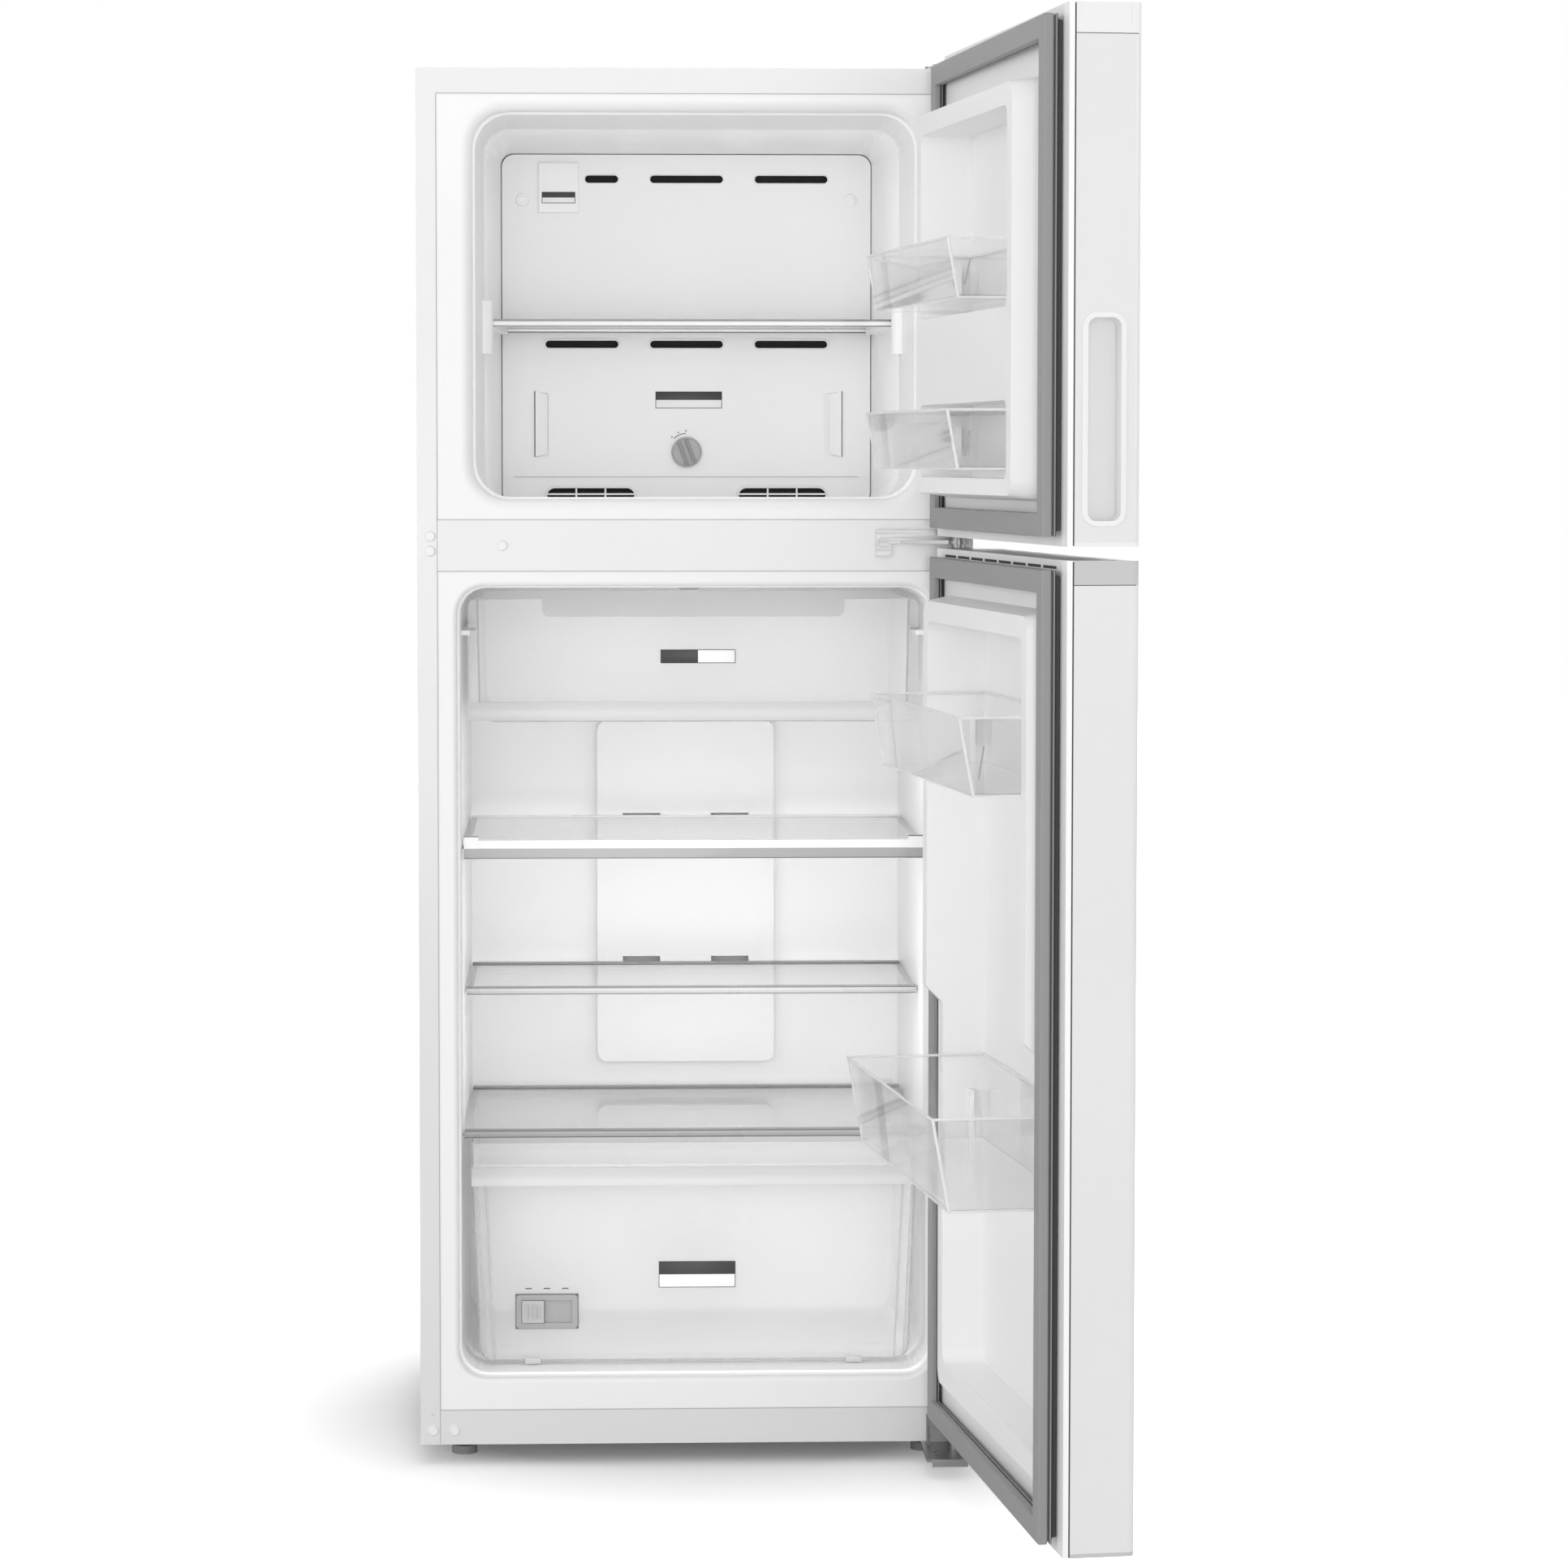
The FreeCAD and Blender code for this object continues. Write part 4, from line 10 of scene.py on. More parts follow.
import bpy
import numpy as np
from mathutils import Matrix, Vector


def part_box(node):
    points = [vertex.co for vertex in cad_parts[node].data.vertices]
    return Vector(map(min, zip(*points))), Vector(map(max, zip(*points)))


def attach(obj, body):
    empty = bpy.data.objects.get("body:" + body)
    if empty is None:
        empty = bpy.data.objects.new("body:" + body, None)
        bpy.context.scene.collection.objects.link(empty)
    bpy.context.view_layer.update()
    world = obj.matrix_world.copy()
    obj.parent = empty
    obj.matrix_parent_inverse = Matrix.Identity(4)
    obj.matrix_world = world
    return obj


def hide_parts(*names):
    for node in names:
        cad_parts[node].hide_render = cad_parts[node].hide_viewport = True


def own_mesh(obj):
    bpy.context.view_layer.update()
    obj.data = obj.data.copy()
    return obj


bl_info = {
    "name": "Top Freezer Refrigerator",
    "version": (1, 0, 0),
    "blender": (4, 5, 0),
    "location": "3D View > Sidebar > Refrigerator",
    "description": "Surface finishes, seals, trims and a studio for a top freezer refrigerator",
    "category": "Object",
}

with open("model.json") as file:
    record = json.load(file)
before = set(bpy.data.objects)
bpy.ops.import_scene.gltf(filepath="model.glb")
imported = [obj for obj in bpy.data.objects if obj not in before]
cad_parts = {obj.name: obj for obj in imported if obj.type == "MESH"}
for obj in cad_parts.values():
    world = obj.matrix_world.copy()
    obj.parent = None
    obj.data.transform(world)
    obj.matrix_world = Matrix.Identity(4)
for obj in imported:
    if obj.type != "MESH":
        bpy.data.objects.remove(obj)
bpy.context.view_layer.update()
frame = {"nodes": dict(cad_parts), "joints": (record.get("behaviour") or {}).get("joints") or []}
NODES = frame["nodes"]
MM = 0.001
FLOAT = "NodeSocketFloat"
COLOUR = "NodeSocketColor"
VECTOR = "NodeSocketVector"
GRAIN_HEIGHT = 0.4 * MM
LINE_HEIGHT = 0.2 * MM
SHADOW_TINT = 0.985
GRAZING_BLEND = 0.3
SEAL_WIDTH = 22 * MM
FACE_SETBACK = 12 * MM  # a drawer's face behind its pull
SEAM_LIP = 0.12 * MM  # how far a seam stands out
SEAM_DEPTH = 0.5 * MM
RIBS_LOW, RIBS_HIGH = -348 * MM, -272 * MM  # the finger ribs' ends, from the back panel's top
FLANGE = 27 * MM  # the cabinet's front flange at the top
LAMP_AIM = (0.05, 0.2, 0.8)
BEAD_RADIUS = 1.6 * MM
BEAD_INSET = 1.5 * MM  # from a bin's corner to the middle of its bead


def mm(*values):
    return np.array(values) * MM


# ---- the frame's places ----
def corners(node):
    """The lowest and highest corners of a node at rest."""
    low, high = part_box(node)
    return np.array(low), np.array(high)


def turned(points, name, back=False):
    """Points of a shut door carried to the open rest pose, or back again: a turn about the hinge's axis."""
    hinge = next(joint for joint in frame["joints"] if joint["name"] == name)
    angle = math.radians(hinge["range_deg"][0]) * (1 if back else -1)
    centre = np.array(hinge["pos_m"])
    c, s = math.cos(angle), math.sin(angle)
    turn = np.array([[c, s, 0], [-s, c, 0], [0, 0, 1]])
    return (np.asarray(points) - centre) @ turn + centre


def read_points(mesh):
    points = np.empty(len(mesh.vertices) * 3)
    mesh.vertices.foreach_get("co", points)
    return points.reshape(-1, 3)


def shut_corners(node, swing):
    """The corners of a door's node when the door is shut."""
    points = turned(read_points(NODES[node].data), swing, back=True)
    return points.min(0), points.max(0)


def placed(name, data):
    """A new object in the scene that shows the data."""
    piece = bpy.data.objects.new(name, data)
    bpy.context.scene.collection.objects.link(piece)
    return piece


# ---- meshes from surfaces ----
def surface(name, points, wrap_u=False, wrap_v=False, caps=False):
    """A mesh over a grid of points [u, v]; a wrapped direction joins its last row to its first.

    With caps, the first and last rows along u are each closed by one face.
    """
    nu, nv = points.shape[:2]
    index = np.arange(nu * nv).reshape(nu, nv)
    u = np.arange(nu if wrap_u else nu - 1)
    v = np.arange(nv if wrap_v else nv - 1)
    a = index[np.ix_(u, v)]
    b = index[np.ix_((u + 1) % nu, v)]
    c = index[np.ix_((u + 1) % nu, (v + 1) % nv)]
    d = index[np.ix_(u, (v + 1) % nv)]
    faces = np.stack([a, b, c, d], axis=-1).reshape(-1, 4).tolist()
    if caps:
        faces += [index[0][::-1].tolist(), index[-1].tolist()]
    mesh = bpy.data.meshes.new(name)
    mesh.from_pydata(points.reshape(-1, 3).tolist(), [], faces)
    mesh.validate()
    piece = placed(name, mesh)
    face_outwards(mesh)
    return piece


def block(name, x, y, z, shaded=True):
    """A closed block from an outline at each of its ends: x, y and z are spread to one grid."""
    piece = surface(name, np.stack(np.broadcast_arrays(x, y, z), axis=-1), wrap_v=True, caps=True)
    if shaded:
        smooth(piece)
    return piece


def mitred(low, high, u):
    """Both coordinates of an outline carried round the rectangle from low to high, u measured inwards."""
    right, upper = [[True], [False], [False], [True]], [[True], [True], [False], [False]]
    return np.where(right, high[0] - u, low[0] + u), np.where(upper, high[1] - u, low[1] + u)


def face_outwards(mesh):
    """Turns all faces of a closed mesh over if its signed volume is negative."""
    mesh.calc_loop_triangles()
    triangles = np.empty(len(mesh.loop_triangles) * 3, int)
    mesh.loop_triangles.foreach_get("vertices", triangles)
    a, b, c = read_points(mesh)[triangles.reshape(-1, 3)].transpose(1, 0, 2)
    if np.einsum("ij,ij->", a, np.cross(b, c)) < 0:
        mesh.flip_normals()


def joined(name, pieces):
    """One piece made of several."""
    for other in bpy.context.selected_objects:
        other.select_set(False)
    for piece in pieces:
        piece.select_set(True)
    bpy.context.view_layer.objects.active = pieces[0]
    bpy.ops.object.join()
    pieces[0].name = name
    return pieces[0]


def smooth(piece, angle=35):
    """Smooth shading across edges flatter than the angle in degrees."""
    mesh = piece.data
    mesh.polygons.foreach_set("use_smooth", np.ones(len(mesh.polygons), bool))
    mesh.set_sharp_from_angle(angle=math.radians(angle))


def moved(piece, points):
    piece.data.vertices.foreach_set("co", points.ravel())
    piece.data.update()
    return piece


def swung(piece, swing):
    """Carries a piece made on a shut door to the open rest pose."""
    return moved(piece, turned(read_points(piece.data), swing))


def finish(piece, material, body):
    """Gives a piece its material and sets it on a body."""
    piece.data.materials.append(bpy.data.materials[material])
    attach(piece, body)


def rounded_box(name, low, high, radius, steps=4):
    """A closed block with rounded edges.

    Each row is a rounded rectangle in X and Y; its inset and its rise follow a quarter circle at the
    bottom and at the top: inset = r (1 - sin t), rise = r (1 - cos t), and the same turned over.
    """
    low, high = np.array(low, float), np.array(high, float)
    t = np.linspace(0, math.pi / 2, steps)
    shrink = np.concatenate([np.sin(t), np.cos(t)])
    height = np.concatenate([low[2] + radius * (1 - np.cos(t)), high[2] - radius * (1 - np.sin(t))])
    quarter = np.arange(4).repeat(steps)
    angle = np.tile(t, 4) + quarter * math.pi / 2
    side = np.array([[1, 1], [-1, 1], [-1, -1], [1, -1]])[quarter]
    middle = (low + high) / 2
    reach = (high - low) / 2 - radius
    round_part = (radius * shrink)[:, None]
    x = middle[0] + side[:, 0] * reach[0] + round_part * np.cos(angle)
    y = middle[1] + side[:, 1] * reach[1] + round_part * np.sin(angle)
    return block(name, x, y, height[:, None])


def boxes(name, spans, radius=0.05 * MM, steps=2):
    """One piece of several rounded boxes, each from its lowest to its highest corner."""
    return joined(name, [rounded_box(name, low, high, radius, steps) for low, high in spans])


def lathe(name, centre, along, profile, sides):
    """A solid of revolution about an axis: point = centre + height * along + radius * (cos a, sin a)."""
    along = np.array(along, float)
    side = np.cross(along, [0.3, 0.5, 0.8])
    side /= np.linalg.norm(side)
    other = np.cross(along, side)
    a = np.linspace(0, 2 * math.pi, sides, endpoint=False)
    circle = np.cos(a)[:, None] * side + np.sin(a)[:, None] * other
    radius, height = profile.T[:, :, None, None]
    return block(name, *(centre + height * along + radius * circle).transpose(2, 0, 1))


def softened(points):
    """A closed outline with its corners cut twice: each side gives its points at one and three quarters."""
    for _ in range(2):
        after = np.roll(points, -1, axis=0)
        sides = [0.75 * points + 0.25 * after, 0.25 * points + 0.75 * after]
        points = np.stack(sides, axis=1).reshape(-1, 2)
    return points


# ---- material groups ----
def grey(value):
    return (value, value, value, 1)


def new_group(name, inputs, outputs):
    """An empty shader group with the named sockets."""
    group = bpy.data.node_groups.new(name, "ShaderNodeTree")
    for label, kind, default in inputs:
        group.interface.new_socket(label, in_out="INPUT", socket_type=kind).default_value = default
    for label, kind in outputs:
        group.interface.new_socket(label, in_out="OUTPUT", socket_type=kind)
    return group, group.nodes.new("NodeGroupInput"), group.nodes.new("NodeGroupOutput")


def plug(group, source, socket):
    """Sets a socket to a number, or links it to an output."""
    if isinstance(source, (int, float)):
        socket.default_value = source
    else:
        group.links.new(source, socket)


def noise(group, coordinates, scale, detail):
    node = group.nodes.new("ShaderNodeTexNoise")
    for source, name in ((coordinates, "Vector"), (scale, "Scale"), (detail, "Detail")):
        plug(group, source, node.inputs[name])
    return node.outputs["Fac"]


def spread(group, value, low, high, start=0.3, end=0.7):
    """A value between start and end carried to the range from low to high."""
    node = group.nodes.new("ShaderNodeMapRange")
    for source, socket in zip((value, start, end, low, high), node.inputs):
        plug(group, source, socket)
    return node.outputs["Result"]


def math_node(group, operation, first, second):
    node = group.nodes.new("ShaderNodeMath")
    node.operation = operation
    plug(group, first, node.inputs[0])
    plug(group, second, node.inputs[1])
    return node.outputs[0]


def end_group(group, start, end, mask, spreads, height, distance):
    """Links a group's outputs: roughness and colour vary with the mask, and the height bumps the normal."""
    rough = math_node(group, "ADD", start.outputs["Roughness"], spreads[0])
    scaled = group.nodes.new("ShaderNodeVectorMath")
    scaled.operation = "SCALE"
    bump = group.nodes.new("ShaderNodeBump")
    bump.inputs["Distance"].default_value = distance
    for source, socket in (
        (start.outputs["Color"], scaled.inputs[0]),
        (spread(group, mask, spreads[1], 1.0), scaled.inputs["Scale"]),
        (start.outputs["Depth"], bump.inputs["Strength"]),
        (height, bump.inputs["Height"]),
        (scaled.outputs[0], end.inputs["Color"]),
        (spread(group, mask, start.outputs["Roughness"], rough), end.inputs["Roughness"]),
        (bump.outputs["Normal"], end.inputs["Normal"]),
    ):
        group.links.new(source, socket)
    return group


def surface_grain():
    """Fine grain: varied roughness, a slightly varied colour and a bumped normal."""
    group, start, end = new_group(
        "surface_grain",
        [
            ("Color", COLOUR, grey(0.8)), ("Roughness", FLOAT, 0.4), ("Roughness Spread", FLOAT, 0.08),
            ("Grain Size", FLOAT, 900.0), ("Depth", FLOAT, 0.05), ("Tone Spread", FLOAT, 0.015),
        ],
        [("Color", COLOUR), ("Roughness", FLOAT), ("Normal", VECTOR)],
    )
    place = group.nodes.new("ShaderNodeTexCoord").outputs["Object"]
    broad = noise(group, place, 5.0, 4.0)
    fine = noise(group, place, start.outputs["Grain Size"], 2.0)
    darkest = math_node(group, "SUBTRACT", 1.0, start.outputs["Tone Spread"])
    spreads = start.outputs["Roughness Spread"], darkest
    return end_group(group, start, end, broad, spreads, fine, GRAIN_HEIGHT)


def brushed_metal():
    """Fine drawn lines along X: a noise stretched many times, on colour, roughness and normal."""
    group, start, end = new_group(
        "brushed_metal",
        [("Color", COLOUR, grey(0.6)), ("Roughness", FLOAT, 0.3), ("Depth", FLOAT, 0.1)],
        [("Color", COLOUR), ("Roughness", FLOAT), ("Normal", VECTOR)],
    )
    stretch = group.nodes.new("ShaderNodeMapping")
    stretch.inputs["Scale"].default_value = (12.0, 900.0, 900.0)
    place = group.nodes.new("ShaderNodeTexCoord").outputs["Object"]
    group.links.new(place, stretch.inputs["Vector"])
    lines = noise(group, stretch.outputs[0], 1.0, 2.0)
    return end_group(group, start, end, lines, (0.15, 0.85), lines, LINE_HEIGHT)


def edge_bands():
    """Level bands between two heights: a dark line at the bottom and at the top, and two tones between.

    Line = 1 where the height is within the line's width of either end; upper = 1 above the split.
    """
    group, start, end = new_group(
        "edge_bands",
        [
            ("Band Color", COLOUR, grey(0.4)), ("Upper Color", COLOUR, grey(0.8)),
            ("Line Color", COLOUR, grey(0.1)), ("Low", FLOAT, 0.0), ("High", FLOAT, 1.0),
            ("Split", FLOAT, 0.5), ("Line Width", FLOAT, 1 * MM),
        ],
        [("Color", COLOUR)],
    )
    links = group.links
    parts = group.nodes.new("ShaderNodeSeparateXYZ")
    links.new(group.nodes.new("ShaderNodeTexCoord").outputs["Object"], parts.inputs[0])
    height = parts.outputs["Z"]
    width = start.outputs["Line Width"]
    above = math_node(group, "GREATER_THAN", height, start.outputs["Split"])
    low_end = math_node(group, "ADD", start.outputs["Low"], width)
    near_low = math_node(group, "LESS_THAN", height, low_end)
    high_end = math_node(group, "SUBTRACT", start.outputs["High"], width)
    near_high = math_node(group, "GREATER_THAN", height, high_end)
    line = math_node(group, "MAXIMUM", near_low, near_high)
    colour = start.outputs["Band Color"]
    for mask, other in ((above, "Upper Color"), (line, "Line Color")):
        mix = group.nodes.new("ShaderNodeMix")
        mix.data_type = "RGBA"
        links.new(mask, mix.inputs["Factor"])
        links.new(colour, mix.inputs["A"])
        links.new(start.outputs[other], mix.inputs["B"])
        colour = mix.outputs["Result"]
    links.new(colour, end.inputs["Color"])
    return group


def emptied(owner, output):
    """Empties the node tree of a material or a world; gives it and the surface socket of its output."""
    owner.use_nodes = True
    tree = owner.node_tree
    tree.nodes.clear()
    return tree, tree.nodes.new(output).inputs["Surface"]


def combined(tree, kind, *sources):
    """A mixing or adding shader node with the sources on its first sockets; gives its output."""
    node = tree.nodes.new(kind)
    for source, socket in zip(sources, node.inputs):
        tree.links.new(source, socket)
    return node.outputs[0]


def group_node(tree, group, values):
    """A node that holds a group, named after it, with the given values on its sockets."""
    node = tree.nodes.new("ShaderNodeGroup")
    node.node_tree = group
    node.name = group.name
    for label, value in values.items():
        node.inputs[label].default_value = value
    return node


def new_material(name, group, values, shader_values, see_through=None):
    """A Principled material whose colour, roughness and normal come from a group.

    A see-through one lets shadow rays pass, tinted a little, and so does the given share of the rays that
    meet it squarely. Towards grazing angles the share falls to nothing, so that its edges show.
    """
    material = bpy.data.materials.new(name)
    tree, out = emptied(material, "ShaderNodeOutputMaterial")
    shader = tree.nodes.new("ShaderNodeBsdfPrincipled")
    grain = group_node(tree, group, values)
    for label, socket in (("Color", "Base Color"), ("Roughness", "Roughness"), ("Normal", "Normal")):
        tree.links.new(grain.outputs[label], shader.inputs[socket])
    for label, value in shader_values.items():
        shader.inputs[label].default_value = value
    material.diffuse_color = (*values["Color"][:3], 1)
    if see_through is None:
        tree.links.new(shader.outputs[0], out)
        return material
    clear = tree.nodes.new("ShaderNodeBsdfTransparent")
    clear.inputs["Color"].default_value = grey(SHADOW_TINT)
    shadow_ray = tree.nodes.new("ShaderNodeLightPath").outputs["Is Shadow Ray"]
    weight = tree.nodes.new("ShaderNodeLayerWeight")
    weight.inputs["Blend"].default_value = GRAZING_BLEND
    passed = spread(tree, weight.outputs["Facing"], see_through, 0.0, start=0.0, end=1.0)
    share = math_node(tree, "MAXIMUM", shadow_ray, passed)
    both = combined(tree, "ShaderNodeMixShader", share, shader.outputs[0], clear.outputs[0])
    tree.links.new(both, out)
    return material


def band_material(name, grain, bands, values):
    """A shelf edge: the bands give the grain group its colour."""
    plain = {"Color": values["Band Color"], "Roughness": 0.25}
    material = new_material(name, grain, plain, {"Coat Weight": 0.3})
    tree = material.node_tree
    colour = group_node(tree, bands, values).outputs["Color"]
    tree.links.new(colour, tree.nodes[grain.name].inputs["Color"])
    return material


# ---- settings ----
def colour_setting(name, description, default):
    return bpy.props.FloatVectorProperty(
        name=name, description=description, subtype="COLOR", default=default, size=3, min=0, max=1
    )


def length_setting(name, description, default):
    return bpy.props.FloatProperty(
        name=name, description=description, default=default, unit="LENGTH", min=0.0
    )


def number_setting(name, description, default, subtype="NONE"):
    return bpy.props.FloatProperty(name=name, description=description, default=default, subtype=subtype)


class FinishColours(bpy.types.PropertyGroup):
    paint: colour_setting("Paint", "White paint on the cabinet and doors", (0.78, 0.782, 0.785))
    liner: colour_setting("Linings", "Moulded linings of the compartments and doors", (0.95, 0.95, 0.952))
    panel: colour_setting("Back panels", "Panels at the back of both compartments", (0.9, 0.9, 0.902))
    seal: colour_setting("Seals", "Door seals", (0.31, 0.31, 0.313))
    cap: colour_setting("Fridge door caps", "Satin end caps of the lower door", (0.56, 0.56, 0.565))
    tag: colour_setting("Tags", "Dark field of the bare tags", (0.035, 0.035, 0.037))


class SealSizes(bpy.types.PropertyGroup):
    relaxed: length_setting("Relaxed thickness", "Thickness of an open door's seal", 20 * MM)
    fold: length_setting("Fold depth", "How far the folds go in from the seal's side", 5.5 * MM)


class TrimSizes(bpy.types.PropertyGroup):
    tag_thickness: length_setting("Tag thickness", "How far a tag stands out", 0.4 * MM)
    seam_width: length_setting("Seam width", "Width of the seams on the front", 0.7 * MM)
    dash_length: length_setting("Vent length", "Length of each vent in the lower door's top", 55 * MM)
    dash_count: bpy.props.IntProperty(
        name="Vents", description="Vents in the lower door's top", default=8, min=1, max=9
    )


class StudioSettings(bpy.types.PropertyGroup):
    distance: length_setting("Camera distance", "From the cabinet's front to the camera", 4.64)
    offset: length_setting("Camera offset", "Camera to the left of the cabinet's middle", 0.1256)
    height: length_setting("Camera height", "Above the floor", 1.087)
    lens: number_setting("Lens", "Focal length in millimetres", 99.4)
    shift_x: number_setting("Shift X", "Sideways shift of the lens", 0.04)
    shift_y: number_setting("Shift Y", "Upright shift of the lens", -0.05)
    tilt: number_setting("Tilt", "How far the camera looks down", math.radians(3.26), "ANGLE")
    turn: number_setting("Turn", "How far the camera looks to the right", math.radians(1.89), "ANGLE")
    lamps: number_setting("Lamps", "Power in watts that each lamp outside has a share of", 100.0)
    fill: number_setting("World", "Strength of the world's light", 0.58)
    inner: number_setting("Inner lamps", "Watts to a square metre of mouth", 1.85)


# ---- operators ----
def assign(material, *nodes):
    for node in nodes:
        mesh = NODES[node].data
        mesh.materials.clear()
        mesh.materials.append(material)


class FRIDGE_OT_finishes(bpy.types.Operator):
    """Gives every rigid piece its finish"""
    bl_idname = "fridge.finishes"
    bl_label = "Surface finishes"

    def execute(self, context):
        colours = context.scene.fridge_colours
        grain = surface_grain()
        self.plastics(colours, grain)
        self.metals(grain)
        self.clear_parts(grain)
        self.shelf_edges(grain)
        return {"FINISHED"}

    def plastics(self, colours, grain):
        for name, colour, roughness, size, depth, *nodes in (
            ("white_paint", colours.paint, 0.3, 260.0, 0.05, "outer_cabinet", "middle_rail", "bottom_rail",
             "freezer_door_skin", "fridge_door_skin"),
            ("liner_plastic", colours.liner, 0.36, 180.0, 0.03, "freezer_liner", "fridge_liner",
             "freezer_door_liner", "fridge_door_liner", "air_duct_cover"),
            ("panel_plastic", colours.panel, 0.45, 1500.0, 0.1, "evaporator_cover"),
            ("trim_plastic", grey(0.88), 0.3, 500.0, 0.02, "hole_plugs", "icemaker_port_cover"),
            ("satin_cap", colours.cap, 0.38, 900.0, 0.05, "fridge_door_caps"),
            ("white_cap", grey(0.85), 0.36, 900.0, 0.05, "freezer_door_caps"),
            ("grip_plastic", grey(0.86), 0.34, 900.0, 0.03, "freezer_door_grip"),
            ("seal_rubber", colours.seal, 0.5, 1200.0, 0.08, "freezer_door_gasket", "fridge_door_gasket"),
            # dark seams at real joints, and painted shade at the finger ribs and in the lower door's vents
            ("dark_seam_and_painted_shade", grey(0.05), 0.7, 1200.0, 0.05),
            ("black_plastic", grey(0.02), 0.5, 1200.0, 0.1,
             "drain_pan", "left_rear_roller", "right_rear_roller"),
            ("leg_plastic", grey(0.3), 0.5, 1200.0, 0.1, "left_leveling_leg", "right_leveling_leg"),
            ("gland_rubber", grey(0.025), 0.7, 1500.0, 0.15, "cord_gland"),
            ("foam", (0.86, 0.85, 0.8), 0.9, 900.0, 0.5,
             "cabinet_foam", "freezer_door_foam", "fridge_door_foam"),
            ("fan_plastic", grey(0.4), 0.45, 700.0, 0.04, "evaporator_fan", "condenser_fan"),
            ("nylon", (0.75, 0.75, 0.73), 0.45, 700.0, 0.04,
             "freezer_door_bushings", "fridge_door_bushings"),
            ("knob_plastic", grey(0.42), 0.35, 900.0, 0.05, "freezer_control_knob"),
            ("switch_plastic", grey(0.48), 0.35, 900.0, 0.04, "humidity_slider"),
            ("plate_plastic", grey(0.36), 0.35, 900.0, 0.04, "humidity_plate"),
            # painted shade: near-black for the sheets behind the back panel's openings
            ("painted_shade_black", grey(0.012), 0.8, 1200.0, 0.05),
            # painted shade: near-black for the seal's deep folds by the door
            ("seal_fold_painted_shade", grey(0.06), 0.6, 1200.0, 0.08),
            ("cove_plastic", grey(0.6), 0.3, 700.0, 0.03),
            ("tag_dark", colours.tag, 0.4, 900.0, 0.02),
            ("tag_light", grey(0.88), 0.4, 900.0, 0.02),
            # grey seams at real joints and the bins' hook marks, and painted shade along the back panel's
            # step
            ("grey_seam_and_painted_shade", grey(0.42), 0.6, 900.0, 0.03),
            ("edge_grey", grey(0.14), 0.5, 900.0, 0.03),
            ("knob_ridge", grey(0.3), 0.35, 900.0, 0.05),
        ):
            values = {"Color": (*colour[:3], 1), "Roughness": roughness, "Grain Size": size, "Depth": depth}
            coat = {"Coat Weight": 0.3, "Coat Roughness": 0.12} if name == "white_paint" else {}
            assign(new_material(name, grain, values, coat), *nodes)

    def metals(self, grain):
        metal = brushed_metal()
        for name, group, tone, roughness, others, shader, *nodes in (
            ("zinc_sheet", grain, 0.55, 0.42, {"Grain Size": 60.0, "Tone Spread": 0.12}, {"Metallic": 0.9},
             "back_panel", "base_frame", "machine_cover"),
            ("black_enamel", grain, 0.02, 0.35, {"Grain Size": 400.0}, {"Coat Weight": 0.4},
             "compressor", "evaporator_fan_motor", "condenser_fan_motor"),
            ("satin_nickel", metal, 0.32, 0.28, {}, {"Metallic": 1.0},
             "top_hinge", "middle_hinge", "bottom_hinge"),
            ("mill_metal", metal, 0.7, 0.35, {}, {"Metallic": 1.0}, "evaporator_coil", "condenser"),
        ):
            values = {"Color": grey(tone), "Roughness": roughness, **others}
            assign(new_material(name, group, values, shader), *nodes)

    def clear_parts(self, grain):
        labels = "Transmission Weight", "IOR", "Coat Weight", "Coat Roughness"
        for name, colour, roughness, depth, share, shader, *nodes in (
            ("clear_plastic", grey(0.995), 0.03, 0.01, 0.85, (1.0, 1.08, 0.6, 0.04),
             "freezer_upper_bin", "freezer_lower_bin", "fridge_small_bin", "fridge_large_bin"),
            # painted highlight: the near-white beads stand for the bright edges of the clear bins on their
            # real rims
            ("bead_plastic", grey(0.93), 0.12, 0.0, 0.1, (0.3, 1.3)),
            ("milky_plastic", grey(0.97), 0.08, 0.01, 0.25, (0.75, 1.08),
             "crisper_drawer", "pantry_drawer"),
            ("shelf_glass", (0.97, 0.975, 0.972, 1), 0.01, 0.0, 0.8, (1.0, 1.12, 0.5, 0.02),
             "freezer_shelf_glass", "upper_shelf_glass", "middle_shelf_glass", "crisper_shelf_glass"),
            ("frosted_lens", grey(0.6), 0.35, 0.0, 0.0, (0.5, 1.49), "light_lens"),
        ):
            values = {"Color": colour, "Roughness": roughness, "Roughness Spread": 0.02, "Depth": depth}
            values["Tone Spread"] = 0.0
            assign(new_material(name, grain, values, dict(zip(labels, shader)), see_through=share), *nodes)

    def shelf_edges(self, grain):
        bands = edge_bands()
        for shelf, band, upper, split in (
            ("freezer_shelf_trim", 0.8, 0.2, 0.68), ("upper_shelf_trim", 0.36, 0.88, 0.45),
            ("middle_shelf_trim", 0.36, 0.42, 0.5), ("crisper_shelf_trim", 0.36, 0.42, 0.5),
        ):
            low, high = corners(shelf)
            values = {
                "Band Color": grey(band), "Upper Color": grey(upper), "Line Color": grey(0.14),
                "Low": low[2], "High": high[2], "Split": low[2] + split * (high[2] - low[2]),
                "Line Width": 1.2 * MM,
            }
            assign(band_material(shelf.replace("trim", "edge"), grain, bands, values), shelf)


def seal_outline(width, height, fold):
    """The outline across a seal, U from its outer side and V from the door: half of it, then its mirror.

    A narrow neck stands in the door, a thin rib and a rounded head stand out beside two deep folds, and
    the head's face is flat for the magnet.
    """
    outer = np.array([
        [1, 0], [1.05, 0.14], [0.9, 0.27], [0.08, 0.3], [0, 0.35], [0.08, 0.4], [0.9, 0.42], [0.9, 0.49],
        [0.12, 0.51], [0, 0.57], [0, 0.7], [0, 0.92], [0.1, 0.98], [0.3, 1],
    ]) * [fold, height]
    inner = np.stack([width - outer[::-1, 0], outer[::-1, 1]], axis=1)
    return softened(np.concatenate([outer, inner]))


